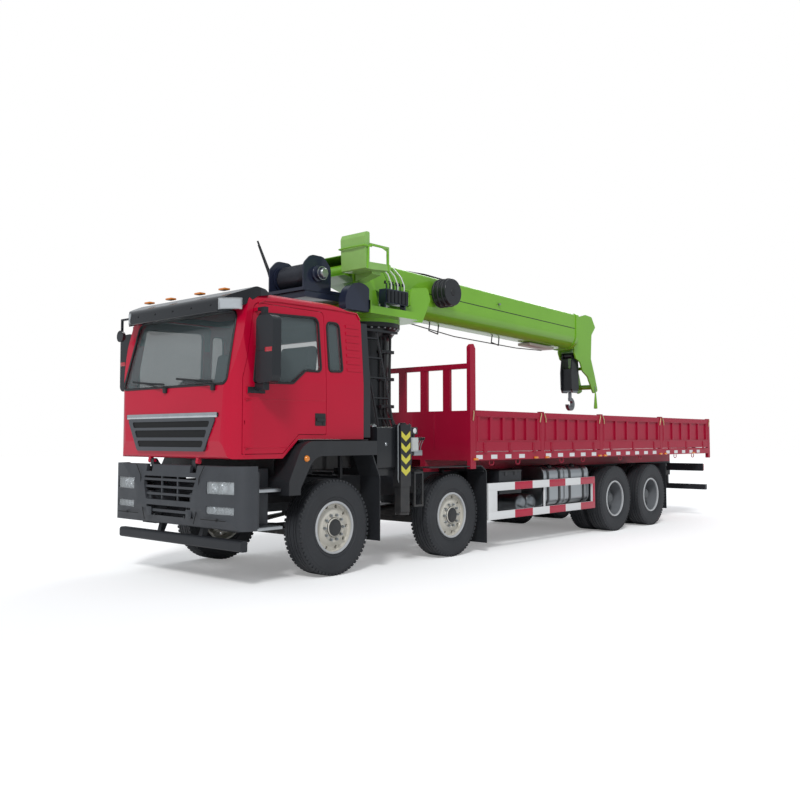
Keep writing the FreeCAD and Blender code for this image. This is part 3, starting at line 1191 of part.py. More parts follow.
# Turret: a floor on the slewing ring and two side plates that hold the boom's pivot.
plate_outer = d.turret_plate_y + d.turret_plate
floor_low = d.turret_floor - 40
floor_front_x = 3560
cheek = prism("turret_cheek", "XZ_Plane", [
    (floor_front_x, floor_low), (3575, 3420, 120), (d.turret_front_x, 3790, 80), (3560, 3930, 60),
    (3360, 3925, 90), (3230, 3600, 90), (3130, 3290, 60), (2640, 3290, 60), (2450, 3620, 50),
    (2120, 3670, 60), (d.turret_rear_x, 3500, 80), (2240, floor_low, 60),
], d.turret_plate, (0, d.turret_plate_y + d.turret_plate / 2, 0))
boss = rod("pivot_boss_disc", d.pivot_boss, 26, d.pivot_x, plate_outer - 2, d.pivot_z, "y")
turret_floor = box("turret_floor_plate", 2250, floor_front_x, -plate_outer + 2, plate_outer - 2, floor_low,
                   d.turret_floor)
turret_ring = rod("turret_ring", d.ring_radius, floor_low - d.ring_split - d.seat_gap,
                  d.crane_x, 0, d.ring_split + d.seat_gap)
front_beam = box("turret_front_beam", floor_front_x - 60, floor_front_x, -d.turret_plate_y - 5,
                 d.turret_plate_y + 5, floor_low, d.winch_deck_z - d.seat_gap)
tray_top = d.turret_floor - 15
tray = [
    box("tray_floor", 2480, 3440, plate_outer - 4, 650, floor_low, tray_top),
    box("tray_lip", 2480, 3440, 638, 650, floor_low, 3260),
    box("tray_end", 3425, 3440, plate_outer - 4, 650, floor_low, 3330),
]
foot_lugs = [prism(f"lift_foot_lug_{side}", "XZ_Plane", [
    (d.lift_foot_x - 95, d.turret_floor - 10), (d.lift_foot_x + 75, d.turret_floor - 10),
    (d.lift_foot_x + 60, d.lift_foot_z + 58, 50), (d.lift_foot_x - 60, d.lift_foot_z + 58, 50),
], 34, (0, sign * (d.lift_barrel_radius + 6 + 17), 0)) for side, sign in SIDES]
turret_whole = fuse("turret_whole", both("turret_cheeks", cheek, boss), turret_floor, turret_ring,
                    front_beam, *tray, *foot_lugs)
turret_bores = [
    rod("pivot_bore", d.pivot_radius + d.running_gap, 2 * plate_outer + 60, d.pivot_x,
        -plate_outer - 30, d.pivot_z, "y"),
    rod("foot_bore", d.lift_pin_radius + d.running_gap, 280, d.lift_foot_x, -140,
        d.lift_foot_z, "y"),
]
piece("turret", cut("turret_bored", turret_whole, *turret_bores))

# Winch: a dark deck over the cab's rear edge, two side plates, the drum and its motor.
shaft_radius = 40
side_in = d.winch_half + 12
side_out = side_in + 20
winch_side = prism("winch_side", "XZ_Plane", [
    (d.winch_x - 235, d.winch_deck_z), (d.winch_x + 235, d.winch_deck_z),
    (d.winch_x + 235, d.winch_z + 110, 130), (d.winch_x + 110, d.winch_z + 235, 130),
    (d.winch_x - 110, d.winch_z + 235, 130), (d.winch_x - 235, d.winch_z + 110, 130),
], side_out - side_in, (0, (side_in + side_out) / 2, 0))
winch_solids = [
    box("winch_deck", floor_front_x - 60, d.winch_x + 240, -side_out - 10, side_out + 10, d.winch_deck_z,
        d.winch_deck_z + 40),
    both("winch_sides", winch_side),
]
winch_whole = cut("winch_bored", fuse("winch_whole", *winch_solids),
                  rod("winch_bore", shaft_radius + d.running_gap, 2 * side_out + 20, d.winch_x,
                      -side_out - 10, d.winch_z, "y"))
motor = turned("winch_motor", [
    (0, 0), (105, 0), (105, 30, 8), (78, 40), (78, 105, 12), (0, 105),
], (d.winch_x, side_out, d.winch_z), "y")
cover_y = plate_outer + d.seat_gap
motor_cover = common("slew_cover", rod("slew_cover_round", 265, 120, 3610, cover_y, 3265, "y"),
                     box("slew_cover_zone", 3444, 3880, 400, 700, floor_low + 10, 3600))
valves = [box("valve_body", 2690, 3130, plate_outer + d.seat_gap, 632, 3330, 3520)]
valves += [box("valve_leg_rear", 2700, 2725, 520, 600, tray_top + d.seat_gap, 3340),
           box("valve_leg_front", 3095, 3120, 520, 600, tray_top + d.seat_gap, 3340)]
for number in range(5):
    x = 2770 + 70 * number
    valves.append(box(f"lever_{number}", x - 6, x + 6, 560, 572, 3515, 3610))
piece("winch_frame", fuse("winch_group", winch_whole, motor, motor_cover, *valves))
piece("winch_drum", turned("drum", [
    (0, -side_out + 4), (shaft_radius, -side_out + 4), (shaft_radius, -d.winch_half),
    (d.winch_flange_radius, -d.winch_half), (d.winch_flange_radius, -d.winch_half + 14),
    (d.winch_core_radius, -d.winch_half + 14), (d.winch_core_radius, d.winch_half - 14),
    (d.winch_flange_radius, d.winch_half - 14), (d.winch_flange_radius, d.winch_half),
    (shaft_radius, d.winch_half), (shaft_radius, side_out - 4), (0, side_out - 4),
], (d.winch_x, 0, d.winch_z), "y"))

# Operator's seat on the turret's left side, with its guard tube.
seat_half = d.seat_width / 2
bracket_y = plate_outer + 24 + d.seat_gap
seat = [
    prism("seat_back", "XZ_Plane", [
        (d.seat_back_x - 90, d.seat_z - 40, 20), (d.seat_back_x - 20, d.seat_z - 40, 20),
        (d.seat_back_x, d.seat_back_top - 60, 30), (d.seat_back_x - 25, d.seat_back_top, 20),
        (d.seat_back_x - 90, d.seat_back_top, 20),
    ], d.seat_width, (0, d.seat_y, 0)),
    prism("seat_pan", "XZ_Plane", [
        (d.seat_back_x - 480, d.seat_z - 30, 20), (d.seat_back_x - 20, d.seat_z - 60, 20),
        (d.seat_back_x - 20, d.seat_z + 30, 20), (d.seat_back_x - 480, d.seat_z + 50, 25),
    ], d.seat_width, (0, d.seat_y, 0)),
    prism("seat_bracket", "YZ_Plane", [
        (bracket_y, 3560), (bracket_y + 40, 3560), (d.seat_y + 60, d.seat_z - 70),
        (d.seat_y + 60, d.seat_z - 25), (bracket_y, d.seat_z - 25),
    ], 160, (3520, 0, 0)),
]
guard_x = d.seat_back_x - 450
seat += [
    box("guard_front_post", guard_x, guard_x + 26, d.seat_y + seat_half - 26,
        d.seat_y + seat_half, d.seat_z, d.seat_z + 270),
    box("guard_tube", guard_x, d.seat_back_x - 30, d.seat_y + seat_half - 26,
        d.seat_y + seat_half, d.seat_z + 245, d.seat_z + 270),
]
piece("operator_seat", fuse("seat", *seat))

# Boom. Each section is drawn in the boom's own line, pivot at the origin and nose towards -X.
boom_turn = FreeCAD.Rotation(Vector(0, 1, 0), -float(d.boom_tilt))
boom_end = d.boom_length
boom_bottom = d.boom_top - d.boom_depth
slide_fit = 0.5
heel_x = -150
heel_z = -120
belly_x = -1550


def boom_placed(solid):
    return place(solid, d.pivot_x, 0, d.pivot_z, boom_turn)


def boom_ring(name, level, grow, rear, ahead):
    """The cross outline of one section, between two distances from the pivot."""
    half = d.boom_half_width - level * d.boom_step + grow
    top = d.boom_top - level * d.boom_step + grow
    bottom = boom_bottom + level * d.boom_step - grow
    belly = d.boom_belly - level * d.boom_step + grow
    corner = 34 + grow
    return prism(name, "YZ_Plane", [
        (-half, top, corner), (half, top, corner), (half, bottom, belly), (-half, bottom, belly),
    ], ahead - rear, (-(rear + ahead) / 2, 0, 0))


def boom_side(name, level, grow, tail, end):
    """The same section from the side: shallow at the tail, full depth further on."""
    up = level * d.boom_step - grow
    on = level * d.tail_step
    root = -(tail - (grow if level else 0))
    if level == 0:
        heel = [(root, -80 + up), (heel_x, heel_z + up)]
    else:
        heel = [(root, -142 + up)]
    return prism(name, "XZ_Plane", [
        (root, d.boom_top - up + 20)] + heel + [
        (belly_x - on, boom_bottom + up), (-end, boom_bottom + up), (-end, d.boom_top - up + 20),
    ], 3 * d.boom_half_width)


def boom_tube(name, level, tail, end):
    outer = common(name + "_outer", boom_ring(name + "_ring", level, 0, tail, end),
                   boom_side(name + "_side", level, 0, tail, end))
    hollow = common(name + "_hollow",
                    boom_ring(name + "_ring_in", level, -d.boom_wall, tail - 10, end + 10),
                    boom_side(name + "_side_in", level, -d.boom_wall, tail - 10, end + 10))
    return cut(name + "_tube", outer, hollow)


def boom_collar(name, level, rear, ahead):
    outer = boom_ring(name + "_collar", level, d.collar_out, rear, ahead)
    void = boom_ring(name + "_collar_void", level + 1, slide_fit, rear - 5, ahead + 5)
    return cut(name + "_lip", outer, void)


def boom_pads(name, level, tail):
    """Sliding pads on a section's tail, against the section around it."""
    half = d.boom_half_width - level * d.boom_step
    top = d.boom_top - level * d.boom_step
    reach = d.boom_step - d.boom_wall - slide_fit
    pads = [box(name + "_top_pad", -(tail + 70), -tail, 70 - half, half - 70, top - 1,
                top + reach)]
    for sign in (-1, 1):
        low, high = sorted((sign * (half - 1), sign * (half + reach)), key=float)
        pads.append(box(f"{name}_side_pad_{sign + 1}", -(tail + 70), -tail, low, high,
                        top - 150, top - 50))
    return pads


boom_parts = [boom_tube("boom_1", 0, -110, boom_end),
              boom_collar("boom_1", 0, boom_end - d.collar_length, boom_end)]
pivot_tube_half = d.turret_plate_y - 6
boom_parts.append(rod("pivot_tube", d.pivot_radius + 30, 2 * pivot_tube_half, 0,
                      -pivot_tube_half, 0, "y"))
boom_parts.append(rod("pivot_pin", d.pivot_radius, 2 * plate_outer + 48, 0, -plate_outer - 24, 0,
                      "y"))
cheek_in = 66


def belly_z(x):
    """Middle of the first section's bottom plate, where it slopes between heel and full depth."""
    run = (x - heel_x) / (belly_x - heel_x)
    return heel_z + run * (boom_bottom - heel_z) + d.boom_wall / 2


for sign in (-1, 1):
    y = sign * (cheek_in + 17)
    cheek_rear = 150 - d.lift_eye_back
    cheek_front = -170 - d.lift_eye_back
    boom_parts.append(prism(f"lift_eye_cheek_{sign + 1}", "XZ_Plane", [
        (cheek_rear, belly_z(cheek_rear)), (cheek_front, belly_z(cheek_front)),
        (-d.lift_eye_back - 60, -d.lift_eye_drop - 55, 60),
        (-d.lift_eye_back + 60, -d.lift_eye_drop - 55, 60),
    ], 34, (0, y, 0)))
reel = turned("hose_reel", [
    (0, 0), (70, 0), (70, 100), (d.reel_radius, 100, 12), (d.reel_radius, 165), (180, 172),
    (180, 186), (d.reel_radius, 193), (d.reel_radius, 235), (180, 242), (180, 256),
    (d.reel_radius, 263), (d.reel_radius, 330, 14), (0, 330),
], (-d.reel_back, d.boom_half_width - 4, -60), "y")
boom_parts.append(reel)
piece("boom_base", boom_placed(fuse("boom_1", *boom_parts)))
section_end = boom_end
for number in (2, 3):
    level = number - 1
    tail = 250 + level * d.tail_step
    section_end = boom_end + level * d.stub
    name = f"boom_{number}"
    parts = [boom_tube(name, level, tail, section_end),
             boom_collar(name, level, section_end - d.stub + 5, section_end)]
    piece(f"boom_section_{number}", boom_placed(fuse(name, *parts,
                                                     *boom_pads(name, level, tail))))
level = 3
tail = 250 + level * d.tail_step
face = section_end + 5
head_in = 150
head_out = 176
head_plate = prism("head_plate", "XZ_Plane", [
    (-10, 150, 20), (-405, 262, 60), (-635, 250, 70), (-775, 70, 20), (-635, -90, 80),
    (-615, -540, 60), (-751, -830, 60), (-875, -1130, 40), (-715, -1190, 60), (-505, -890, 80),
    (-315, -800, 60), (-225, -640, 60), (-75, -590, 40), (-10, -470, 20),
], head_out - head_in, (-face, (head_in + head_out) / 2, 0))
hook_pin_back = face + d.hook_pin_on
head_parts = [
    boom_tube("boom_4", level, tail, face + 10),
    *boom_pads("boom_4", level, tail),
    boom_ring("head_flange", level, 0, face, face + 30),
    both("head_plates", head_plate),
    rod("head_sheave", 120, 200, -face - 575, -100, 120, "y"),
    rod("head_axle", 30, 2 * head_out, -face - 575, -head_out, 120, "y"),
    rod("nose_sheave", 85, 200, -face - 495, -100, -320, "y"),
    rod("nose_axle", 26, 2 * head_out, -face - 495, -head_out, -320, "y"),
    rod("jib_tube", 45, 2 * head_out, -face - 765, -head_out, -1060, "y"),
    rod("jib_stay", 30, 2 * head_out, -face - 435, -head_out, -740, "y"),
    box("head_bottom", -face - 20, -face, -head_out, head_out, -415, -300),
    rod("hook_pin", 22, 2 * head_out, -hook_pin_back, -head_out, -d.hook_pin_drop, "y"),
]
piece("boom_section_4", boom_placed(fuse("boom_4", *head_parts)))

# Lifting cylinder, from the turret's floor to the eye under the boom.
tilt = math.radians(d.boom_tilt)
eye_x = d.pivot_x - d.lift_eye_back * math.cos(tilt) + d.lift_eye_drop * math.sin(tilt)
eye_z = d.pivot_z - d.lift_eye_drop * math.cos(tilt) - d.lift_eye_back * math.sin(tilt)
rise = math.degrees(math.atan2(eye_z - d.lift_foot_z, d.lift_foot_x - eye_x))
closed = math.hypot(eye_z - d.lift_foot_z, d.lift_foot_x - eye_x)
lift_turn = FreeCAD.Rotation(Vector(0, 1, 0), rise)
rod_bore = d.lift_rod_radius + d.running_gap
foot_half = d.lift_barrel_radius - 4
barrel = cut(
    "lift_barrel_bored",
    fuse("lift_barrel_whole",
         rod("lift_tube", d.lift_barrel_radius, d.lift_barrel_length, -d.lift_barrel_length, 0, 0,
             "x"),
         rod("lift_foot_eye", d.lift_barrel_radius - 8, 2 * foot_half, 0, -foot_half, 0, "y"),
         rod("lift_foot_pin", d.lift_pin_radius, 2 * (d.lift_barrel_radius + 40), 0,
             -d.lift_barrel_radius - 40, 0, "y")),
    rod("lift_rod_bore", rod_bore, d.lift_barrel_length - 80, -d.lift_barrel_length - 5, 0, 0,
        "x"))
piece("lift_barrel", place(barrel, d.lift_foot_x, 0, d.lift_foot_z, lift_turn))
rod_half = cheek_in - 8
lift_rod = fuse(
    "lift_rod_whole",
    rod("lift_rod_bar", d.lift_rod_radius, closed - 110, -closed, 0, 0, "x"),
    rod("lift_rod_eye", 50, 2 * rod_half, -closed, -rod_half, 0, "y"))
piece("lift_rod", place(lift_rod, d.lift_foot_x, 0, d.lift_foot_z, lift_turn))

# Hook block, hung from the pin under the boom's nose.
hook_x = d.pivot_x - hook_pin_back * math.cos(tilt) + d.hook_pin_drop * math.sin(tilt)
hook_z = d.pivot_z - d.hook_pin_drop * math.cos(tilt) - hook_pin_back * math.sin(tilt)
block_cheek = prism("hook_block_cheek", "XZ_Plane", [
    (-60, 50, 40), (60, 50, 40), (105, -90, 40), (140, -320, 60), (130, -620, 40),
    (90, -690, 30), (-70, -690, 30), (-120, -600, 40), (-120, -200, 60), (-100, -60, 40),
], 26, (0, 105, 0))
hook_ring = cut("hook_curve",
                rod("hook_round", 118, 60, 0, -30, -895, "y"),
                rod("hook_eye", 64, 80, 12, -40, -885, "y"),
                box("hook_mouth", 20, 140, -40, 40, -900, -760))
hook_whole = fuse(
    "hook_whole", both("block_cheeks", block_cheek),
    box("block_core", -95, 95, -94, 94, -670, -250),
    rod("block_head", 55, 236, 0, -118, 0, "y"),
    rod("hook_shank", 32, 180, 0, 0, -840),
    hook_ring)
hook = cut("hook_bored", hook_whole, rod("hook_bore", 22 + d.running_gap, 300, 0, -150, 0, "y"))
piece("hook_block", place(hook, hook_x, 0, hook_z))

# Every object is checked before anything is written.
document.recompute()
for thing in document.Objects:
    if any(word in thing.State for word in ("Invalid", "Error")):
        raise RuntimeError(f"{thing.Name}: {thing.State}")
os.makedirs("parts", exist_ok=True)
for solid in pieces:
    shape = solid.Shape
    if shape.isNull() or not shape.isValid() or not shape.Solids:
        raise RuntimeError(f"{solid.Label} has no valid shape")
for solid in pieces:
    solid.Shape.exportStep(f"parts/{solid.Label}.step")
print(len(pieces), "pieces")
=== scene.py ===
import bmesh
import bpy
import math
from mathutils import Matrix, Vector


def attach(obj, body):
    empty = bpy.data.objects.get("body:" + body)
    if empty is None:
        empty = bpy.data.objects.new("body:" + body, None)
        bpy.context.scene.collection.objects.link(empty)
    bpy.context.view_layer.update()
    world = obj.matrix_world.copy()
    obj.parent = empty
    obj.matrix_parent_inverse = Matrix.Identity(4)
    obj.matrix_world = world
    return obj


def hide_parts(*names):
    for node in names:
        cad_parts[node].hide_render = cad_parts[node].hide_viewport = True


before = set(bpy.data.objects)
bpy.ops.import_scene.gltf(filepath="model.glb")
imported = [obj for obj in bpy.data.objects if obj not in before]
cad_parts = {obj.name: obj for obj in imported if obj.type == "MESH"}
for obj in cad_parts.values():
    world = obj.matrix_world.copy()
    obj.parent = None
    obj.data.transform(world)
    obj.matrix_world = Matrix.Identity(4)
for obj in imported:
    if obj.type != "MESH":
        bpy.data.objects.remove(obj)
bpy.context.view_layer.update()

# The view. The lorry is seen from its left front corner at chest height by a person who stands
# a few metres off, with the lens of a plain camera; the picture is square.
VIEW_FROM = Vector((11.517, 8.280, 1.551))
VIEW_YAW = math.radians(221.909)
VIEW_PITCH = math.radians(3.36)
view_data = bpy.data.cameras.new("view")
view_data.lens = 39.2
view_data.sensor_width = 36.0
view_data.shift_x = 0.0090
view_data.shift_y = -0.0161
view_data.clip_end = 200.0
view = bpy.data.objects.new("view", view_data)
bpy.context.scene.collection.objects.link(view)
ahead = Vector((math.cos(VIEW_YAW) * math.cos(VIEW_PITCH),
                math.sin(VIEW_YAW) * math.cos(VIEW_PITCH), math.sin(VIEW_PITCH)))
view.location = VIEW_FROM
view.rotation_euler = ahead.to_track_quat("-Z", "Y").to_euler()
bpy.context.scene.camera = view
bpy.context.scene.view_settings.view_transform = "Standard"


def linear(code, alpha=1.0):
    """An sRGB hex colour as the linear values that a shader takes."""
    shares = [int(code[place:place + 2], 16) / 255 for place in (1, 3, 5)]
    return [share / 12.92 if share <= 0.04045 else ((share + 0.055) / 1.055) ** 2.4
            for share in shares] + [alpha]


def add(tree, kind, settings=None, inputs=None):
    """One node with its settings; an input takes a value or another node's socket."""
    made = tree.nodes.new(kind)
    for name, value in (settings or {}).items():
        setattr(made, name, value)
    for name, value in (inputs or {}).items():
        if isinstance(value, bpy.types.NodeSocket):
            tree.links.new(value, made.inputs[name])
        else:
            made.inputs[name].default_value = value
    return made


# The studio. A pale, even floor and a white room light the lorry softly from all round, with
# one wide lamp high on the viewer's side, so that the body's creases still read.
FLOOR_REACH = 60.0
floor_mesh = bpy.data.meshes.new("studio_floor")
floor_mesh.from_pydata([(-FLOOR_REACH, -FLOOR_REACH, 0), (FLOOR_REACH, -FLOOR_REACH, 0),
                        (FLOOR_REACH, FLOOR_REACH, 0), (-FLOOR_REACH, FLOOR_REACH, 0)], [],
                       [(0, 1, 2, 3)])
floor = bpy.data.objects.new("studio_floor", floor_mesh)
bpy.context.scene.collection.objects.link(floor)
paper = bpy.data.materials.new("matt_white_floor")
paper.use_nodes = True
tree = paper.node_tree
tree.nodes.clear()
seen = add(tree, "ShaderNodeLightPath")
diffuse = add(tree, "ShaderNodeBsdfDiffuse", inputs={"Color": linear("#f4f4f4")})
glow = add(tree, "ShaderNodeEmission", inputs={"Color": linear("#ffffff"), "Strength": 0.22})
lift = add(tree, "ShaderNodeAddShader", inputs={0: diffuse.outputs[0], 1: glow.outputs[0]})
mixed = add(tree, "ShaderNodeMixShader", inputs={
    0: seen.outputs["Is Camera Ray"], 1: diffuse.outputs[0], 2: lift.outputs[0]})
add(tree, "ShaderNodeOutputMaterial", inputs={"Surface": mixed.outputs[0]})
floor_mesh.materials.append(paper)
room = bpy.data.worlds.new("white_room")
room.use_nodes = True
tree = room.node_tree
tree.nodes.clear()
seen = add(tree, "ShaderNodeLightPath")
shown = add(tree, "ShaderNodeMath", {"operation": "MAXIMUM"}, {
    0: seen.outputs["Is Camera Ray"], 1: seen.outputs["Is Transmission Ray"]})
soft = add(tree, "ShaderNodeBackground", inputs={"Color": linear("#eef3f8"), "Strength": 0.62})
white = add(tree, "ShaderNodeBackground", inputs={"Color": linear("#ffffff"), "Strength": 1.0})
mixed = add(tree, "ShaderNodeMixShader", inputs={
    0: shown.outputs[0], 1: soft.outputs[0], 2: white.outputs[0]})
add(tree, "ShaderNodeOutputWorld", inputs={"Surface": mixed.outputs[0]})
bpy.context.scene.world = room
for name, strength, angle, turn in (("key_lamp", 1.7, 12, (48, 8, 118)),
                                    ("far_lamp", 0.6, 25, (60, 0, -70))):
    lamp_data = bpy.data.lights.new(name, "SUN")
    lamp_data.energy = strength
    lamp_data.angle = math.radians(angle)
    lamp = bpy.data.objects.new(name, lamp_data)
    lamp.rotation_euler = [math.radians(part) for part in turn]
    bpy.context.scene.collection.objects.link(lamp)

# Cab shell and doors: pressed sheet steel in one coat of crimson with a clear coat over it.
# Sprayed paint shows a faint orange peel close to and a little road dust low down.
PEEL_SIZE = 0.004
MOTTLE_SIZE = 0.6


def paint(name, code, shade, rough=0.28, coat=0.7, dust="#8d8378", dust_top=0.9,
          dust_share=0.18):
    """Sprayed paint: its colour drifts a little, and dust gathers towards the ground."""
    material = bpy.data.materials.new(name)
    material.use_nodes = True
    tree = material.node_tree
    tree.nodes.clear()
    where = add(tree, "ShaderNodeTexCoord")
    drift = add(tree, "ShaderNodeTexNoise", inputs={
        "Vector": where.outputs["Object"], "Scale": 1 / MOTTLE_SIZE, "Detail": 3.0})
    blend = add(tree, "ShaderNodeMix", {"data_type": "RGBA"}, {
        "Factor": drift.outputs["Fac"], "A": linear(code), "B": linear(shade)})
    split = add(tree, "ShaderNodeSeparateXYZ", inputs={"Vector": where.outputs["Object"]})
    low = add(tree, "ShaderNodeMapRange", inputs={
        "Value": split.outputs["Z"], "From Min": 0.1, "From Max": dust_top,
        "To Min": dust_share, "To Max": 0.0})
    speck = add(tree, "ShaderNodeTexNoise", inputs={
        "Vector": where.outputs["Object"], "Scale": 9.0, "Detail": 6.0})
    amount = add(tree, "ShaderNodeMath", {"operation": "MULTIPLY"}, {
        0: low.outputs[0], 1: speck.outputs["Fac"]})
    dusty = add(tree, "ShaderNodeMix", {"data_type": "RGBA"}, {
        "Factor": amount.outputs[0], "A": blend.outputs["Result"], "B": linear(dust)})
    peel = add(tree, "ShaderNodeTexNoise", inputs={
        "Vector": where.outputs["Object"], "Scale": 1 / PEEL_SIZE / 4, "Detail": 1.0})
    bump = add(tree, "ShaderNodeBump", inputs={
        "Height": peel.outputs["Fac"], "Strength": 0.03, "Distance": 0.002})
    shine = add(tree, "ShaderNodeBsdfPrincipled", inputs={
        "Base Color": dusty.outputs["Result"], "Roughness": rough, "Coat Weight": coat,
        "Coat Roughness": 0.06, "Specular IOR Level": 0.25, "Normal": bump.outputs[0]})
    add(tree, "ShaderNodeOutputMaterial", inputs={"Surface": shine.outputs[0]})
    return material


def dress(node, material):
    """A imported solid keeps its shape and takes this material."""
    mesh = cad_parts[node].data
    mesh.materials.clear()
    mesh.materials.append(material)



# Cab glass: toughened panes with a faint grey tint. Each sits in a black rubber strip that
# is pressed on round the opening; the door panes slide down into the doors.
glass = bpy.data.materials.new("tinted_cab_glass")
glass.use_nodes = True
tree = glass.node_tree
tree.nodes.clear()
pane_shine = add(tree, "ShaderNodeBsdfPrincipled", inputs={
    "Base Color": linear("#5d6a6c"), "Roughness": 0.03, "Alpha": 0.42, "IOR": 1.5,
    "Coat Weight": 0.6, "Coat Roughness": 0.02})
add(tree, "ShaderNodeOutputMaterial", inputs={"Surface": pane_shine.outputs[0]})
dress("cab_glass", glass)


def plain(name, code, rough, metallic=0.0, grain=0.003, depth=0.25, spread=0.12, coat=0.0):
    """A moulded, cast or bare surface: a fine grain in its relief and a drift in its gloss."""
    material = bpy.data.materials.new(name)
    material.use_nodes = True
    tree = material.node_tree
    tree.nodes.clear()
    where = add(tree, "ShaderNodeTexCoord")
    pitted = add(tree, "ShaderNodeTexNoise", inputs={
        "Vector": where.outputs["Object"], "Scale": 1 / grain / 4, "Detail": 3.0})
    drift = add(tree, "ShaderNodeTexNoise", inputs={
        "Vector": where.outputs["Object"], "Scale": 5.0, "Detail": 4.0})
    gloss = add(tree, "ShaderNodeMapRange", inputs={
        "Value": drift.outputs["Fac"], "To Min": max(rough - spread, 0.02),
        "To Max": min(rough + spread, 1.0)})
    darker = [share * 0.72 for share in linear(code)[:3]] + [1.0]
    tone = add(tree, "ShaderNodeMix", {"data_type": "RGBA"}, {
        "Factor": drift.outputs["Fac"], "A": linear(code), "B": darker})
    bump = add(tree, "ShaderNodeBump", inputs={
        "Height": pitted.outputs["Fac"], "Strength": depth, "Distance": grain / 3})
    shine = add(tree, "ShaderNodeBsdfPrincipled", inputs={
        "Base Color": tone.outputs["Result"], "Metallic": metallic,
        "Roughness": gloss.outputs[0], "Coat Weight": coat, "Normal": bump.outputs[0]})
    add(tree, "ShaderNodeOutputMaterial", inputs={"Surface": shine.outputs[0]})
    return material


seal_rubber = plain("black_seal_rubber", "#16161a", 0.55)


def finished(name, mesh, material, body, smooth=True):
    """A mesh becomes a piece that rides on its body."""
    mesh.materials.clear()
    mesh.materials.append(material)
    if smooth:
        mesh.shade_smooth()
        mesh.set_sharp_from_angle(angle=math.radians(35))
    piece = bpy.data.objects.new(name, mesh)
    bpy.context.scene.collection.objects.link(piece)
    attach(piece, body)
    return piece


def shaped(name, build, material, body, smooth=True):
    """A mesh still under construction becomes such a piece."""
    mesh = bpy.data.meshes.new(name)
    build.to_mesh(mesh)
    build.free()
    return finished(name, mesh, material, body, smooth)


def rounded(corners, steps=5):
    """Corners of across, up and radius as the points of a line with round bends."""
    points = []
    count = len(corners)
    for index, (across, up, radius) in enumerate(corners):
        here = Vector((across, up))
        if radius <= 0:
            points.append(here)
            continue
        back = (Vector(corners[index - 1][:2]) - here).normalized()
        on = (Vector(corners[(index + 1) % count][:2]) - here).normalized()
        half = back.angle(on) / 2
        reach = radius / math.tan(half)
        centre = here + (back + on).normalized() * (radius / math.sin(half))
        first = here + back * reach - centre
        last = here + on * reach - centre
        turn = first.angle_signed(last)
        for step in range(steps + 1):
            leg = first.copy()
            leg.rotate(Matrix.Rotation(-turn * step / steps, 2))
            points.append(centre + leg)
    return points


def sweep(mesh, path, radius, closed=False, sides=8, wide=1.0):
    """A round bar along a path, added to a bmesh; wide flattens or widens it upwards."""
    count = len(path)
    rings = []
    side = None
    for index, point in enumerate(path):
        before = path[(index - 1) % count] if closed or index else point
        after = path[(index + 1) % count] if closed or index < count - 1 else point
        along = (after - before).normalized()
        if side is None:
            side = along.cross(Vector((0, 0, 1)))
            if side.length < 0.1:
                side = along.cross(Vector((1, 0, 0)))
        side = (side - along * side.dot(along)).normalized()
        up = side.cross(along)
        ring = []
        for step in range(sides):
            turn = 2 * math.pi * step / sides
            ring.append(mesh.verts.new(point + side * radius * math.cos(turn)
                                       + up * radius * wide * math.sin(turn)))
        rings.append(ring)
    spans = count if closed else count - 1
    for index in range(spans):
        low, high = rings[index], rings[(index + 1) % count]
        for step in range(sides):
            after = (step + 1) % sides
            mesh.faces.new((low[step], low[after], high[after], high[step]))
    if not closed:
        mesh.faces.new(rings[0][::-1])
        mesh.faces.new(rings[-1])


def bars(name, paths, radius, material, body, closed=False, sides=8, wide=1.0):
    """One piece from several round bars."""
    build = bmesh.new()
    for path in paths:
        sweep(build, [Vector(point) for point in path], radius, closed, sides, wide)
    bmesh.ops.recalc_face_normals(build, faces=build.faces)
    return shaped(name, build, material, body)


def blocks(name, rows, material, body, edge=0.004, move=None):
    """One piece from several plates or blocks with broken edges; a row is two corners."""
    build = bmesh.new()
    for low, high in rows:
        low, high = Vector(map(min, low, high)), Vector(map(max, low, high))
        made = bmesh.ops.create_cube(build, size=1.0)["verts"]
        middle, span = (low + high) / 2, high - low
        for vert in made:
            vert.co = Vector(part * size for part, size in zip(vert.co, span)) + middle
        if edge:
            limit = min(edge, min(span) * 0.4)
            edges = list({item for vert in made for item in vert.link_edges})
            bmesh.ops.bevel(build, geom=edges, offset=limit, segments=2, profile=0.6,
                            affect="EDGES")
    if move is not None:
        bmesh.ops.transform(build, matrix=move, verts=build.verts)
    return shaped(name, build, material, body)


# Where the cab's own surfaces lie, so that trim can be set on them.
CAB_FRONT = 5.985
CAB_HALF = 1.140
CAB_SHOULDER = 2.180
SIDE_LEAN = 0.0695
SCREEN_LEAN = 0.2312
SCREEN_FOOT = 2.090


def cab_side(up):
    return CAB_HALF - max(0.0, up - CAB_SHOULDER) * SIDE_LEAN


def cab_nose(up):
    return CAB_FRONT - 0.008 - max(0.0, up - SCREEN_FOOT) * SCREEN_LEAN


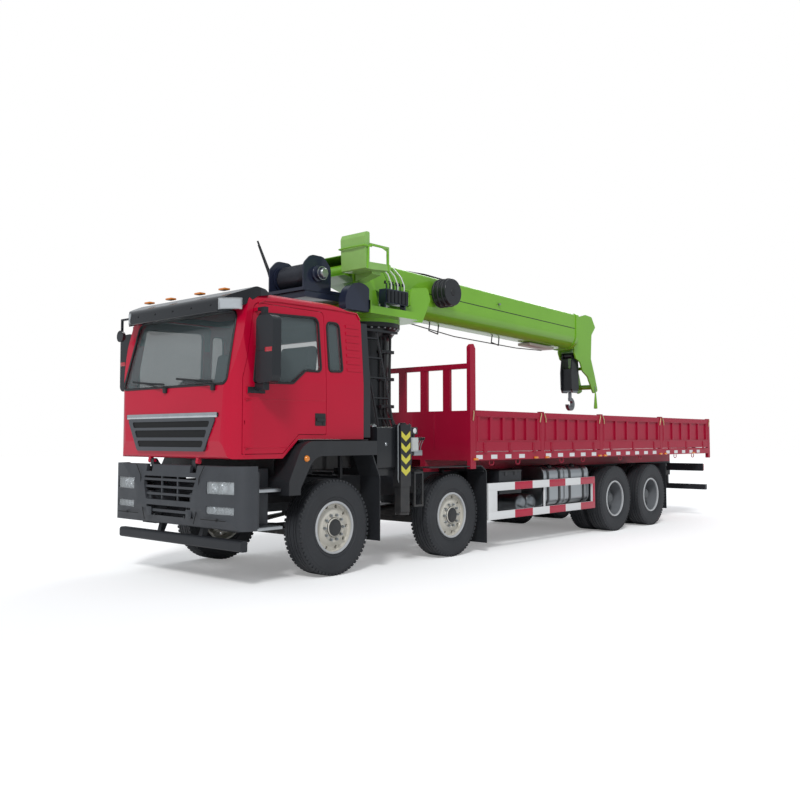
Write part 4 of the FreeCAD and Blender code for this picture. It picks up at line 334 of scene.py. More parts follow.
door_window = [(4.762, 2.300, 0.05), (5.000, 2.300, 0.07), (5.190, 2.150, 0.08),
               (5.735, 2.135, 0.03), (5.625, 2.880, 0.06), (4.778, 2.910, 0.07)]
quarter_window = [(4.420, 2.320, 0.04), (4.640, 2.310, 0.04), (4.648, 2.880, 0.06),
                  (4.450, 2.880, 0.06)]
windscreen = [(-0.985, 2.120, 0.06), (0.985, 2.120, 0.06), (0.925, 2.905, 0.09),
              (-0.925, 2.905, 0.09)]
for side, sign in (("left", 1), ("right", -1)):
    rim = [(point.x, sign * cab_side(point.y), point.y) for point in rounded(door_window)]
    bars(f"door_window_seal_{side}", [rim], 0.013, seal_rubber, f"door_{side}",
         closed=True)
    rim = [(point.x, sign * cab_side(point.y), point.y) for point in rounded(quarter_window)]
    bars(f"quarter_window_seal_{side}", [rim], 0.012, seal_rubber, "cab",
         closed=True)
    build = bmesh.new()
    for inset in (0.022, 0.027):
        rim = [build.verts.new((point.x, sign * (cab_side(point.y) - inset), point.y))
               for point in rounded(door_window)]
        build.faces.new(rim)
    build.faces.ensure_lookup_table()
    inner, outer = build.faces[0], build.faces[1]
    count = len(inner.verts)
    for index in range(count):
        after = (index + 1) % count
        build.faces.new((inner.verts[index], inner.verts[after], outer.verts[after],
                         outer.verts[index]))
    bmesh.ops.recalc_face_normals(build, faces=build.faces)
    shaped(f"door_pane_{side}", build, glass, f"door_{side}", smooth=False)
rim = [(cab_nose(point.y) + 0.002, point.x, point.y) for point in rounded(windscreen)]
bars("windscreen_seal", [rim], 0.014, seal_rubber, "cab", closed=True)

# Cab walls inside: the same sheet steel lined with grey moulded boards. A door's mirror stands
# on a black plastic arm out of the red skin, and its two glasses sit in one black shell.


def zone(tree, where, low, high):
    """One inside a box of the piece's own space, nought outside it."""
    middle = [(a + b) / 2 for a, b in zip(low, high)]
    half = [(b - a) / 2 for a, b in zip(low, high)]
    away = add(tree, "ShaderNodeVectorMath", {"operation": "SUBTRACT"}, {0: where, 1: middle})
    size = add(tree, "ShaderNodeVectorMath", {"operation": "ABSOLUTE"}, {0: away.outputs[0]})
    over = add(tree, "ShaderNodeVectorMath", {"operation": "SUBTRACT"}, {
        0: size.outputs[0], 1: half})
    split = add(tree, "ShaderNodeSeparateXYZ", inputs={0: over.outputs[0]})
    flat = add(tree, "ShaderNodeMath", {"operation": "MAXIMUM"}, {
        0: split.outputs[0], 1: split.outputs[1]})
    most = add(tree, "ShaderNodeMath", {"operation": "MAXIMUM"}, {
        0: flat.outputs[0], 1: split.outputs[2]})
    return add(tree, "ShaderNodeMath", {"operation": "LESS_THAN"}, {
        0: most.outputs[0], 1: 0.0}).outputs[0]


def zoned(name, ground, places, even=True, extra=None):
    """One skin with several finishes by place. A finish is its colour, the darker colour that
    it drifts to, roughness and metallic; even tells that left and right are alike."""
    material = bpy.data.materials.new(name)
    material.use_nodes = True
    tree = material.node_tree
    tree.nodes.clear()
    coords = add(tree, "ShaderNodeTexCoord").outputs["Object"]
    split = add(tree, "ShaderNodeSeparateXYZ", inputs={0: coords})
    across = split.outputs[1]
    if even:
        across = add(tree, "ShaderNodeMath", {"operation": "ABSOLUTE"}, {0: across}).outputs[0]
    where = add(tree, "ShaderNodeCombineXYZ", inputs={
        0: split.outputs[0], 1: across, 2: split.outputs[2]}).outputs[0]
    drift = add(tree, "ShaderNodeTexNoise", inputs={
        "Vector": coords, "Scale": 1.7, "Detail": 3.0}).outputs["Fac"]

    def tone(look):
        return add(tree, "ShaderNodeMix", {"data_type": "RGBA"}, {
            "Factor": drift, "A": linear(look[0]), "B": linear(look[1])}).outputs["Result"]

    colour = tone(ground)
    rough = add(tree, "ShaderNodeMapRange", inputs={
        "Value": drift, "To Min": ground[2] - 0.05, "To Max": ground[2] + 0.05}).outputs[0]
    metal = None
    chosen = [(zone(tree, where, low, high), look) for low, high, look in places]
    if extra is not None:
        chosen.append((extra[0](tree, split), extra[1]))
    for inside, look in chosen:
        colour = add(tree, "ShaderNodeMix", {"data_type": "RGBA"}, {
            "Factor": inside, "A": colour, "B": tone(look)}).outputs["Result"]
        rough = add(tree, "ShaderNodeMix", inputs={
            "Factor": inside, "A": rough, "B": look[2]}).outputs["Result"]
        if look[3] != ground[3] or metal is not None:
            metal = add(tree, "ShaderNodeMix", inputs={
                "Factor": inside, "A": ground[3] if metal is None else metal,
                "B": look[3]}).outputs["Result"]
    peel = add(tree, "ShaderNodeTexNoise", inputs={
        "Vector": coords, "Scale": 1 / PEEL_SIZE / 4, "Detail": 2.0})
    bump = add(tree, "ShaderNodeBump", inputs={
        "Height": peel.outputs["Fac"], "Strength": 0.02, "Distance": 0.002})
    shine = add(tree, "ShaderNodeBsdfPrincipled", inputs={
        "Base Color": colour, "Roughness": rough, "Coat Weight": ground[4],
        "Coat Roughness": 0.06, "Specular IOR Level": 0.25, "Normal": bump.outputs[0]})
    if metal is None:
        shine.inputs["Metallic"].default_value = ground[3]
    else:
        tree.links.new(metal, shine.inputs["Metallic"])
    add(tree, "ShaderNodeOutputMaterial", inputs={"Surface": shine.outputs[0]})
    return material


RED_COAT = ("#bd0330", "#ac022a", 0.3, 0.0, 0.2)
GREY_BOARD = ("#6d6c6b", "#5b5a59", 0.7, 0.0)
BLACK_SHELL = ("#25282c", "#1d2024", 0.42, 0.0)
cab_skin = zoned("crimson_cab_with_grey_lining", RED_COAT, [
    ((4.118, 0.0, 1.43), (5.88, 1.088, 2.18), GREY_BOARD),
    ((4.118, 0.0, 2.18), (5.79, 1.052, 2.60), GREY_BOARD),
    ((4.118, 0.0, 2.60), (5.72, 1.022, 3.065), GREY_BOARD)])
dress("cab_shell", cab_skin)
door_skin = zoned("crimson_door_with_black_mirror", RED_COAT, [
    ((4.60, 0.90, 1.30), (5.90, 1.092, 2.18), GREY_BOARD),
    ((4.60, 0.90, 2.18), (5.90, 1.058, 3.10), GREY_BOARD),
    ((5.30, 1.146, 1.95), (6.00, 1.60, 3.00), BLACK_SHELL)])
for node in ("door_left", "door_right"):
    dress(node, door_skin)

# Cab fittings: a bright strip over the grille, black door handles in their wells, two wipers
# that rest along the foot of the screen, and mirror indicators in red plastic.
bright_trim = plain("bright_chromed_strip", "#cfd4d8", 0.12, metallic=1.0, depth=0.05,
                    spread=0.05)
shell_black = plain("black_grained_plastic", "#1b1d20", 0.5)
signal_red = plain("red_lamp_plastic", "#b41628", 0.16, depth=0.1, spread=0.04, coat=0.6)
signal_amber = plain("amber_lamp_plastic", "#e8861a", 0.16, depth=0.1, spread=0.04, coat=0.6)
blocks("grille_strip", [((5.978, -0.86, 1.770), (5.996, 0.86, 1.824))], bright_trim, "cab")
blocks("grille_strip_ends", [((5.976, sign * 0.868 - 0.006, 1.776),
                              (5.992, sign * 0.868 + 0.006, 1.818)) for sign in (1, -1)],
       shell_black, "cab", edge=0.002)
for side, sign in (("left", 1), ("right", -1)):
    blocks(f"door_handle_{side}", [
        ((4.700, sign * 1.128, 1.690), (4.860, sign * 1.146, 1.830)),
        ((4.712, sign * 1.140, 1.742), (4.848, sign * 1.162, 1.776)),
        ((4.722, sign * 1.140, 1.700), (4.752, sign * 1.152, 1.730))],
        shell_black, f"door_{side}", edge=0.006)
    blocks(f"mirror_indicator_{side}", [
        ((5.722, sign * 1.330, 2.440), (5.752, sign * 1.446, 2.490))],
        signal_red, f"door_{side}", edge=0.010)
    blocks(f"mirror_joint_{side}", [
        ((5.628, sign * 1.188, 2.455), (5.7495, sign * 1.446, 2.463))],
        seal_rubber, f"door_{side}", edge=0.002)
    gutter = [(5.640, 2.985), (5.560, 3.022), (5.300, 3.036), (4.500, 3.040), (4.150, 3.028),
              (4.098, 2.960)]
    bars(f"roof_gutter_{side}", [[(x, sign * (cab_side(up) + 0.002), up) for x, up in gutter]],
         0.013, cab_skin, "cab", wide=0.8)
    bars(f"door_press_line_{side}", [
        [(5.838, sign * (cab_side(1.955) - 0.003), 1.955),
         (4.700, sign * (cab_side(1.975) - 0.003), 1.975)],
        [(5.838, sign * (cab_side(1.452) - 0.003), 1.452),
         (5.200, sign * (cab_side(1.452) - 0.003), 1.452)]], 0.006, door_skin, f"door_{side}")
wiper_arms = []
wiper_blades = []
for foot, tip in ((0.78, 0.10), (-0.10, -0.78)):
    wiper_arms.append([(cab_nose(2.085) + 0.012, foot, 2.085),
                       (cab_nose(2.110) + 0.036, foot - 0.03, 2.110),
                       (cab_nose(2.165) + 0.042, (foot + tip) / 2, 2.165)])
    wiper_blades.append([(cab_nose(2.150) + 0.026, foot - 0.02, 2.150),
                         (cab_nose(2.172) + 0.030, (foot + tip) / 2, 2.172),
                         (cab_nose(2.205) + 0.026, tip, 2.205)])
bars("wiper_arms", wiper_arms, 0.008, shell_black, "cab")
bars("wiper_blades", wiper_blades, 0.007, seal_rubber, "cab", wide=1.7)
blocks("wiper_spindles", [((cab_nose(2.085) - 0.006, foot - 0.032, 2.052),
                           (cab_nose(2.085) + 0.028, foot + 0.032, 2.116))
                          for foot in (0.78, -0.10)], shell_black, "cab",
       edge=0.014)

# Sun visor, grille and air guides: one dark moulding each. The visor has a clear lamp round
# each end, four marker lamps on its brow, and screw heads along its face.
# The recessed faces of the grille's slots are near black: painted shade in the slots.
GRILLE_SLOT_SHADE = ("#0c0d0f", "#08090a", 0.8, 0.0)
moulded = zoned("dark_visor_and_grey_grille", ("#2b2e33", "#24272b", 0.34, 0.0, 0.3), [
    ((5.60, 0.0, 2.80), (6.05, 1.20, 3.25), ("#1c1f23", "#17191d", 0.16, 0.0)),
    ((5.90, 0.0, 1.40), (6.05, 0.86, 1.79), ("#4a4d52", "#42454a", 0.45, 0.0)),
    # painted shade: the grille slots' recessed faces in near black
    ((5.80, 0.0, 1.455), (5.9895, 0.86, 1.525), GRILLE_SLOT_SHADE),
    ((5.80, 0.0, 1.560), (5.9895, 0.86, 1.640), GRILLE_SLOT_SHADE),
    ((5.80, 0.0, 1.670), (5.9895, 0.86, 1.735), GRILLE_SLOT_SHADE)])
dress("cab_trim", moulded)
clear_lens = bpy.data.materials.new("clear_lamp_cover")
clear_lens.use_nodes = True
tree = clear_lens.node_tree
tree.nodes.clear()
where = add(tree, "ShaderNodeTexCoord")
fluted = add(tree, "ShaderNodeTexWave", inputs={
    "Vector": where.outputs["Object"], "Scale": 18.0, "Distortion": 1.0})
flutes = add(tree, "ShaderNodeBump", inputs={
    "Height": fluted.outputs["Fac"], "Strength": 0.25, "Distance": 0.003})
cover_shine = add(tree, "ShaderNodeBsdfPrincipled", inputs={
    "Base Color": linear("#e6ebee"), "Roughness": 0.08, "IOR": 1.49, "Alpha": 0.32,
    "Coat Weight": 1.0, "Coat Roughness": 0.03, "Normal": flutes.outputs[0]})
add(tree, "ShaderNodeOutputMaterial", inputs={"Surface": cover_shine.outputs[0]})
lamp_silver = plain("silvered_lamp_bowl", "#d9dde0", 0.14, metallic=1.0, depth=0.05)
VISOR_LEAN = math.atan2(0.028, 0.160)
VISOR_END = (5.690, 0.783, 0.300)


def round_end(name, sign, turn, reach, rise, material):
    """A strip round the visor's end, from one turn, reach and height to the other."""
    build = bmesh.new()
    rows = []
    steps = 12
    for step in range(steps + 1):
        angle = math.radians(turn[0] + (turn[1] - turn[0]) * step / steps)
        rows.append([build.verts.new((VISOR_END[0] + away * math.cos(angle),
                                      sign * (VISOR_END[1] + away * math.sin(angle)), up))
                     for away, up in ((reach[0], rise[0]), (reach[1], rise[0]),
                                      (reach[1], rise[1]), (reach[0], rise[1]))])
    for row, after in zip(rows, rows[1:]):
        for place in range(4):
            beside = (place + 1) % 4
            build.faces.new((row[place], row[beside], after[beside], after[place]))
    build.faces.new(rows[0])
    build.faces.new(rows[-1])
    bmesh.ops.recalc_face_normals(build, faces=build.faces)
    shaped(name, build, material, "cab")


for side, sign in (("left", 1), ("right", -1)):
    outer = VISOR_END[2]
    round_end(f"visor_lamp_bowl_{side}", sign, (17, 60), (outer - 0.02, outer + 0.002),
              (2.912, 3.012), lamp_silver)
    round_end(f"visor_lamp_cover_{side}", sign, (14, 63), (outer - 0.01, outer + 0.009),
              (2.902, 3.022), clear_lens)
blocks("brow_markers", [((5.770, y - 0.055, 3.140), (5.850, y + 0.055, 3.162))
                        for y in (-0.72, -0.28, 0.28, 0.72)], signal_amber, "cab",
       edge=0.010)

# Front tower: the dash, seats and wheel behind the glass, in charcoal cloth and grained vinyl.
cabin_vinyl = zoned("charcoal_cabin_trim", ("#2c2d30", "#222326", 0.72, 0.0, 0.0), [
    ((4.20, 0.0, 1.40), (5.10, 1.10, 3.00), ("#54585c", "#43474b", 0.88, 0.0))])
dress("cab_interior", cabin_vinyl)


# Screws, nuts and rivets: one pattern set round a ring, and one set along a line. Each takes
# its count and sizes when it is used.
def pattern(name, fields):
    """A new geometry tree with named inputs and one output."""
    tree = bpy.data.node_groups.new(name, "GeometryNodeTree")
    tree.interface.new_socket(name="Geometry", in_out="OUTPUT",
                              socket_type="NodeSocketGeometry")
    for field, kind in fields:
        tree.interface.new_socket(name=field, in_out="INPUT", socket_type="NodeSocket" + kind)
    return tree


def grown(name, tree, values, move=None):
    """The plain mesh that a pattern makes from these sizes, laid where it belongs."""
    carrier = bpy.data.objects.new(name, bpy.data.meshes.new(name + "_seed"))
    bpy.context.scene.collection.objects.link(carrier)
    made = carrier.modifiers.new("pattern", "NODES")
    made.node_group = tree
    for socket in tree.interface.items_tree:
        if socket.in_out == "INPUT":
            made[socket.identifier] = values[socket.name]
    graph = bpy.context.evaluated_depsgraph_get()
    mesh = bpy.data.meshes.new_from_object(carrier.evaluated_get(graph))
    bpy.data.objects.remove(carrier)
    if move is not None:
        mesh.transform(move)
    return mesh


def gathered(meshes, name):
    """Several meshes as one."""
    build = bmesh.new()
    for mesh in meshes:
        build.from_mesh(mesh)
        bpy.data.meshes.remove(mesh)
    whole = bpy.data.meshes.new(name)
    build.to_mesh(whole)
    build.free()
    return whole


zinc = plain("zinc_plated_steel", "#a9adb0", 0.34, metallic=1.0, depth=0.1)
line_fixings = pattern("fixings_along_a_line", [
    ("Count", "Int"), ("Start", "Vector"), ("Step", "Vector"), ("Head Radius", "Float"),
    ("Head Height", "Float"), ("Sides", "Int")])
sizes = add(line_fixings, "NodeGroupInput")
line = add(line_fixings, "GeometryNodeMeshLine", inputs={
    "Count": sizes.outputs["Count"], "Start Location": sizes.outputs["Start"],
    "Offset": sizes.outputs["Step"]})
head = add(line_fixings, "GeometryNodeMeshCylinder", inputs={
    "Vertices": sizes.outputs["Sides"], "Radius": sizes.outputs["Head Radius"],
    "Depth": sizes.outputs["Head Height"]})
heads = add(line_fixings, "GeometryNodeInstanceOnPoints", inputs={
    "Points": line.outputs["Mesh"], "Instance": head.outputs["Mesh"]})
real = add(line_fixings, "GeometryNodeRealizeInstances", inputs={
    "Geometry": heads.outputs["Instances"]})
coated = add(line_fixings, "GeometryNodeSetMaterial", inputs={
    "Geometry": real.outputs[0], "Material": zinc})
add(line_fixings, "NodeGroupOutput", inputs={"Geometry": coated.outputs[0]})
visor_screws = grown("visor_screws", line_fixings, {
    "Count": 5, "Start": (-0.70, 0.0, 0.0), "Step": (0.35, 0.0, 0.0), "Head Radius": 0.011,
    "Head Height": 0.008, "Sides": 10},
    Matrix.Translation((5.9755, 0, 2.965)) @ Matrix.Rotation(-VISOR_LEAN, 4, "Y")
    @ Matrix.Rotation(math.pi / 2, 4, "Z") @ Matrix.Rotation(math.pi / 2, 4, "X"))
finished("visor_screws", visor_screws, shell_black, "cab")

# Front bumper: one grained dark grey moulding, bolted on, with two towing eyes behind square
# lids. Clear lamp covers close its pockets over silvered bowls; the steps have bright treads.
seam_black = plain("black_seam", "#0b0c0d", 0.8)
bumper_plastic = plain("grained_bumper_plastic", "#3b3e43", 0.55, grain=0.005, depth=0.2)
dress("front_bumper", bumper_plastic)
lamp_covers = zoned("lamp_covers_clear_and_red", ("#dfe5e8", "#cfd6da", 0.1, 0.0, 1.0), [
    ((-6.2, 0.0, 0.8), (-5.0, 1.3, 1.2), ("#a01322", "#8c101d", 0.16, 0.0))])
tree = lamp_covers.node_tree
here = add(tree, "ShaderNodeTexCoord").outputs["Object"]
at_rear = zone(tree, here, (-6.2, -1.3, 0.8), (-5.0, 1.3, 1.2))
solid_share = add(tree, "ShaderNodeMapRange", inputs={
    "Value": at_rear, "To Min": 0.34, "To Max": 0.96})
for node in tree.nodes:
    if node.bl_idname == "ShaderNodeBsdfPrincipled":
        tree.links.new(solid_share.outputs[0], node.inputs["Alpha"])
dress("lamps", lamp_covers)


def lathe(build, rows, centre, sign=1, steps=88, closed=True):
    """Rows of radius and place along the axle, turned about a line across the lorry."""
    rings = []
    for radius, across in rows:
        ring = []
        for step in range(steps):
            angle = 2 * math.pi * step / steps
            ring.append(build.verts.new((centre[0] + radius * math.cos(angle),
                                         centre[1] + sign * across,
                                         centre[2] + radius * math.sin(angle))))
        rings.append(ring)
    pairs = list(zip(rings, rings[1:]))
    if closed:
        pairs.append((rings[-1], rings[0]))
    for low, high in pairs:
        for step in range(steps):
            after = (step + 1) % steps
            build.faces.new((low[step], low[after], high[after], high[step]))
    if not closed:
        build.faces.new(rings[0])
        build.faces.new(rings[-1])


def turned(name, rows, centre, sign, steps, material, body):
    """One whole piece from such rows."""
    build = bmesh.new()
    lathe(build, rows, centre, sign, steps)
    bmesh.ops.recalc_face_normals(build, faces=build.faces)
    shaped(name, build, material, body)


def turned_dish(build, centre, radius, depth, facing, steps=24):
    """A lamp's bowl, open towards facing, with its bulb's cap in the middle."""
    rows = ((1.0, 0.0), (0.93, 0.02), (0.80, 0.45), (0.52, 0.80), (0.24, 0.97), (0.22, 0.60),
            (0.10, 0.55))
    turn = Vector((0, 0, 1)).rotation_difference(Vector(facing)).to_matrix().to_4x4()
    rings = []
    for share, down in rows:
        ring = []
        for step in range(steps):
            angle = 2 * math.pi * step / steps
            point = Vector((radius * share * math.cos(angle), radius * share * math.sin(angle),
                            -depth * down))
            ring.append(build.verts.new(turn @ point + Vector(centre)))
        rings.append(ring)
    for low, high in zip(rings, rings[1:]):
        for step in range(steps):
            after = (step + 1) % steps
            build.faces.new((low[step], low[after], high[after], high[step]))
    build.faces.new(rings[-1])


for side, sign in (("left", 1), ("right", -1)):
    bowls = bmesh.new()
    for y, up, radius in ((0.765, 1.035, 0.058), (0.895, 1.035, 0.058), (1.005, 1.035, 0.046),
                          (0.760, 0.800, 0.034), (0.860, 0.800, 0.034), (0.960, 0.800, 0.034)):
        nose = 5.952 - max(0.0, y - 0.70) * 0.20
        turned_dish(bowls, (nose, sign * y, up), radius, 0.05, (1, 0, 0))
    shaped(f"lamp_bowls_{side}", bowls, lamp_silver, "chassis")
    blocks(f"lamp_back_{side}", [
        ((5.800, sign * 0.700, 0.975), (5.870, sign * 1.090, 1.095)),
        ((5.800, sign * 0.700, 0.765), (5.870, sign * 1.090, 0.835))], lamp_silver, "chassis",
        edge=0.006)
    blocks(f"towing_lid_{side}", [
        ((5.985, sign * 0.330, 0.690), (5.996, sign * 0.425, 0.785)),
        ((5.990, sign * 0.350, 0.710), (5.999, sign * 0.405, 0.765))], bumper_plastic,
        "chassis", edge=0.005)
bumper_bolts = []
for up, count, start, step in ((1.175, 2, -0.60, 1.20), (0.700, 4, -0.85, 0.5667)):
    bumper_bolts.append(grown("bumper_bolts", line_fixings, {
        "Count": count, "Start": (start, 0.0, 0.0), "Step": (step, 0.0, 0.0),
        "Head Radius": 0.014, "Head Height": 0.010, "Sides": 12},
        Matrix.Translation((5.990 - (0.040 if up > 1 else 0.012), 0, up))
        @ Matrix.Rotation(math.pi / 2, 4, "Z") @ Matrix.Rotation(math.pi / 2, 4, "X")))
finished("bumper_bolts", gathered(bumper_bolts, "bumper_bolts"), shell_black, "chassis")
blocks("air_baffle", [((5.300, -0.960, 1.080), (5.308, 0.960, 1.334))], shell_black, "chassis",
       edge=0.002)
for side, sign in (("left", 1), ("right", -1)):
    bars(f"bumper_seams_{side}", [
        [(5.9905, sign * 0.650, 1.258), (5.9905, sign * 0.560, 1.130),
         (5.9905, sign * 0.545, 0.850), (5.9905, sign * 0.470, 0.640)],
        [(5.9905, sign * 0.600, 0.700), (5.9905, sign * 1.020, 0.700)]], 0.0045, seam_black,
        "chassis", sides=6)
tread_metal = plain("ribbed_aluminium_tread", "#b9bdc0", 0.36, metallic=1.0, depth=0.15)
tread_ribs = pattern("ribs_across_a_tread", [
    ("Count", "Int"), ("Start", "Vector"), ("Step", "Vector"), ("Rib Size", "Vector")])
sizes = add(tread_ribs, "NodeGroupInput")
line = add(tread_ribs, "GeometryNodeMeshLine", inputs={
    "Count": sizes.outputs["Count"], "Start Location": sizes.outputs["Start"],
    "Offset": sizes.outputs["Step"]})
rib = add(tread_ribs, "GeometryNodeMeshCube", inputs={"Size": sizes.outputs["Rib Size"]})
ribs = add(tread_ribs, "GeometryNodeInstanceOnPoints", inputs={
    "Points": line.outputs["Mesh"], "Instance": rib.outputs["Mesh"]})
real = add(tread_ribs, "GeometryNodeRealizeInstances", inputs={
    "Geometry": ribs.outputs["Instances"]})
coated = add(tread_ribs, "GeometryNodeSetMaterial", inputs={
    "Geometry": real.outputs[0], "Material": tread_metal})
add(tread_ribs, "NodeGroupOutput", inputs={"Geometry": coated.outputs[0]})
for side, sign in (("left", 1), ("right", -1)):
    for name, top, outer in (("low", 0.620, 1.182), ("high", 1.013, 1.150)):
        blocks(f"step_plate_{name}_{side}", [
            ((5.366, sign * 0.930, top - 0.030), (5.735, sign * (outer + 0.006), top + 0.003))],
            tread_metal, "chassis", edge=0.004)
        ribbed = grown(f"step_ribs_{name}_{side}", tread_ribs, {
            "Count": 17, "Start": (5.385, sign * (outer - 0.115), top + 0.0045),
            "Step": (0.0207, 0.0, 0.0), "Rib Size": (0.008, 0.19, 0.005)})
        finished(f"step_ribs_{name}_{side}", ribbed, tread_metal, "chassis",
                 smooth=False)

# Mudguards: vacuum-formed black plastic with rubber flaps hung behind the wheels, a rubber lip
# under the cab and a round amber lamp on each front fender.
dress("mudguards", plain("black_mudguard_plastic", "#232529", 0.5, grain=0.006, depth=0.2))
for side, sign in (("left", 1), ("right", -1)):
    turned(f"fender_lamp_{side}", [
        (0.003, 0.022), (0.024, 0.020), (0.033, 0.010), (0.036, 0.000), (0.036, -0.006),
        (0.003, -0.006)], (5.079, sign * 1.248, 1.330), sign, 28, signal_amber, "chassis")
    blocks(f"fender_lip_{side}", [
        ((3.975, sign * 1.080, 1.512), (5.085, sign * 1.120, 1.5392))], seal_rubber, "chassis",
        edge=0.004)

# Frame, axles and engine: hot-rolled steel under thick satin chassis paint, with road dust on
# everything that the wheels can throw at.
chassis_paint = paint("satin_chassis_paint", "#2b2d31", "#232529", rough=0.5, coat=0.0,
                      dust_top=1.0, dust_share=0.5)
for node in ("frame_rails", "axles", "knuckle_1_left", "knuckle_1_right", "knuckle_2_left",
             "knuckle_2_right"):
    dress(node, chassis_paint)
dress("engine_block", plain("cast_engine_grey", "#4a4c50", 0.6, grain=0.008, depth=0.5))

# Wheels. Each tyre is one turned carcass with a ribbed tread, and lugs cut along its shoulders;
# a ring on its wall guards the rim.
TYRE_RADIUS = 0.542
AXLES = (4.550, 2.400, -1.950, -3.300)
tyre_rubber = bpy.data.materials.new("vulcanised_tyre_rubber")
tyre_rubber.use_nodes = True
tree = tyre_rubber.node_tree
tree.nodes.clear()
where = add(tree, "ShaderNodeTexCoord")
fine = add(tree, "ShaderNodeTexNoise", inputs={
    "Vector": where.outputs["Object"], "Scale": 60.0, "Detail": 4.0})
wide = add(tree, "ShaderNodeTexNoise", inputs={
    "Vector": where.outputs["Object"], "Scale": 3.0, "Detail": 5.0})
tone = add(tree, "ShaderNodeMix", {"data_type": "RGBA"}, {
    "Factor": wide.outputs["Fac"], "A": linear("#1c1e22"), "B": linear("#2e3034")})
relief = add(tree, "ShaderNodeBump", inputs={
    "Height": fine.outputs["Fac"], "Strength": 0.2, "Distance": 0.002})
rubber = add(tree, "ShaderNodeBsdfPrincipled", inputs={
    "Base Color": tone.outputs["Result"], "Roughness": 0.62, "Normal": relief.outputs[0]})
add(tree, "ShaderNodeOutputMaterial", inputs={"Surface": rubber.outputs[0]})
wall_rows = [
    (0.2885, 0.1140), (0.2990, 0.1170), (0.3110, 0.1250), (0.3220, 0.1310), (0.3300, 0.1330),
    (0.3340, 0.1290), (0.3420, 0.1290), (0.3460, 0.1340), (0.3600, 0.1370), (0.4000, 0.1410),
    (0.4470, 0.1430), (0.4700, 0.1420), (0.4720, 0.1425), (0.4760, 0.1425), (0.4780, 0.1400),
    (0.4900, 0.1385), (0.5050, 0.1350), (0.5200, 0.1290), (0.5310, 0.1200)]
tread_rows = [
    (0.5400, 0.1080), (0.5420, 0.0960), (0.5420, 0.0760), (0.5310, 0.0740), (0.5310, 0.0650),
    (0.5420, 0.0630), (0.5420, 0.0350), (0.5310, 0.0330), (0.5310, 0.0250), (0.5420, 0.0230)]
half_rows = wall_rows + tread_rows
whole_rows = half_rows + [(radius, -across) for radius, across in reversed(half_rows)]

tyre_lugs = pattern("lugs_round_a_tyre", [
    ("Count", "Int"), ("Ring Radius", "Float"), ("Lug Size", "Vector"), ("Lift", "Vector"),
    ("Drop", "Vector")])
sizes = add(tyre_lugs, "NodeGroupInput")
ring = add(tyre_lugs, "GeometryNodeMeshCircle", inputs={
    "Vertices": sizes.outputs["Count"], "Radius": sizes.outputs["Ring Radius"]})
lug = add(tyre_lugs, "GeometryNodeMeshCube", inputs={"Size": sizes.outputs["Lug Size"]})
spot = add(tyre_lugs, "GeometryNodeInputPosition")
facing = add(tyre_lugs, "FunctionNodeAlignRotationToVector", {"axis": "X"}, {
    "Vector": spot.outputs[0]})
lugs = add(tyre_lugs, "GeometryNodeInstanceOnPoints", inputs={
    "Points": ring.outputs["Mesh"], "Instance": lug.outputs["Mesh"],
    "Rotation": facing.outputs[0]})
near = add(tyre_lugs, "GeometryNodeTransform", inputs={
    "Geometry": lugs.outputs["Instances"], "Translation": sizes.outputs["Lift"]})
far = add(tyre_lugs, "GeometryNodeTransform", inputs={
    "Geometry": lugs.outputs["Instances"], "Translation": sizes.outputs["Drop"]})
sides = add(tyre_lugs, "GeometryNodeJoinGeometry")
tyre_lugs.links.new(near.outputs[0], sides.inputs[0])
tyre_lugs.links.new(far.outputs[0], sides.inputs[0])
real = add(tyre_lugs, "GeometryNodeRealizeInstances", inputs={"Geometry": sides.outputs[0]})
coated = add(tyre_lugs, "GeometryNodeSetMaterial", inputs={
    "Geometry": real.outputs[0], "Material": tyre_rubber})
add(tyre_lugs, "NodeGroupOutput", inputs={"Geometry": coated.outputs[0]})
LUG_SIZES = {"Count": 62, "Ring Radius": 0.527, "Lug Size": (0.026, 0.032, 0.036),
             "Lift": (0.0, 0.0, 0.117), "Drop": (0.0, 0.0, -0.117)}


def tyre(name, centres, sign, body, node):
    """One tyre, or the two of a pair, in place of the plain turned ones."""
    build = bmesh.new()
    for centre in centres:
        lathe(build, whole_rows, centre)
    bmesh.ops.recalc_face_normals(build, faces=build.faces)
    mesh = bpy.data.meshes.new(name)
    build.to_mesh(mesh)
    build.free()
    meshes = [mesh]
    for centre in centres:
        across = Matrix.Rotation(-math.pi / 2 * sign, 4, "X")
        meshes.append(grown(name + "_lugs", tyre_lugs, LUG_SIZES,
                            Matrix.Translation(centre) @ across))
    piece = finished(name, gathered(meshes, name), tyre_rubber, body)
    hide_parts(node)


FRONT_TRACK = 1.020
TWIN_OUTER = 1.092
TWIN_PITCH = 0.336
for number, x in enumerate(AXLES, 1):
    for side, sign in (("left", 1), ("right", -1)):
        if number < 3:
            tyre(f"ribbed_tyre_{number}_{side}", [(x, sign * FRONT_TRACK, TYRE_RADIUS)], sign,
                 f"wheel_{number}_{side}", f"tyre_{number}_{side}")
        else:
            tyre(f"twin_tyres_{number}_{side}",
                 [(x, sign * TWIN_OUTER, TYRE_RADIUS),
                  (x, sign * (TWIN_OUTER - TWIN_PITCH), TYRE_RADIUS)], sign,
                 f"wheels_{number}_{side}", f"tyres_{number}_{side}")
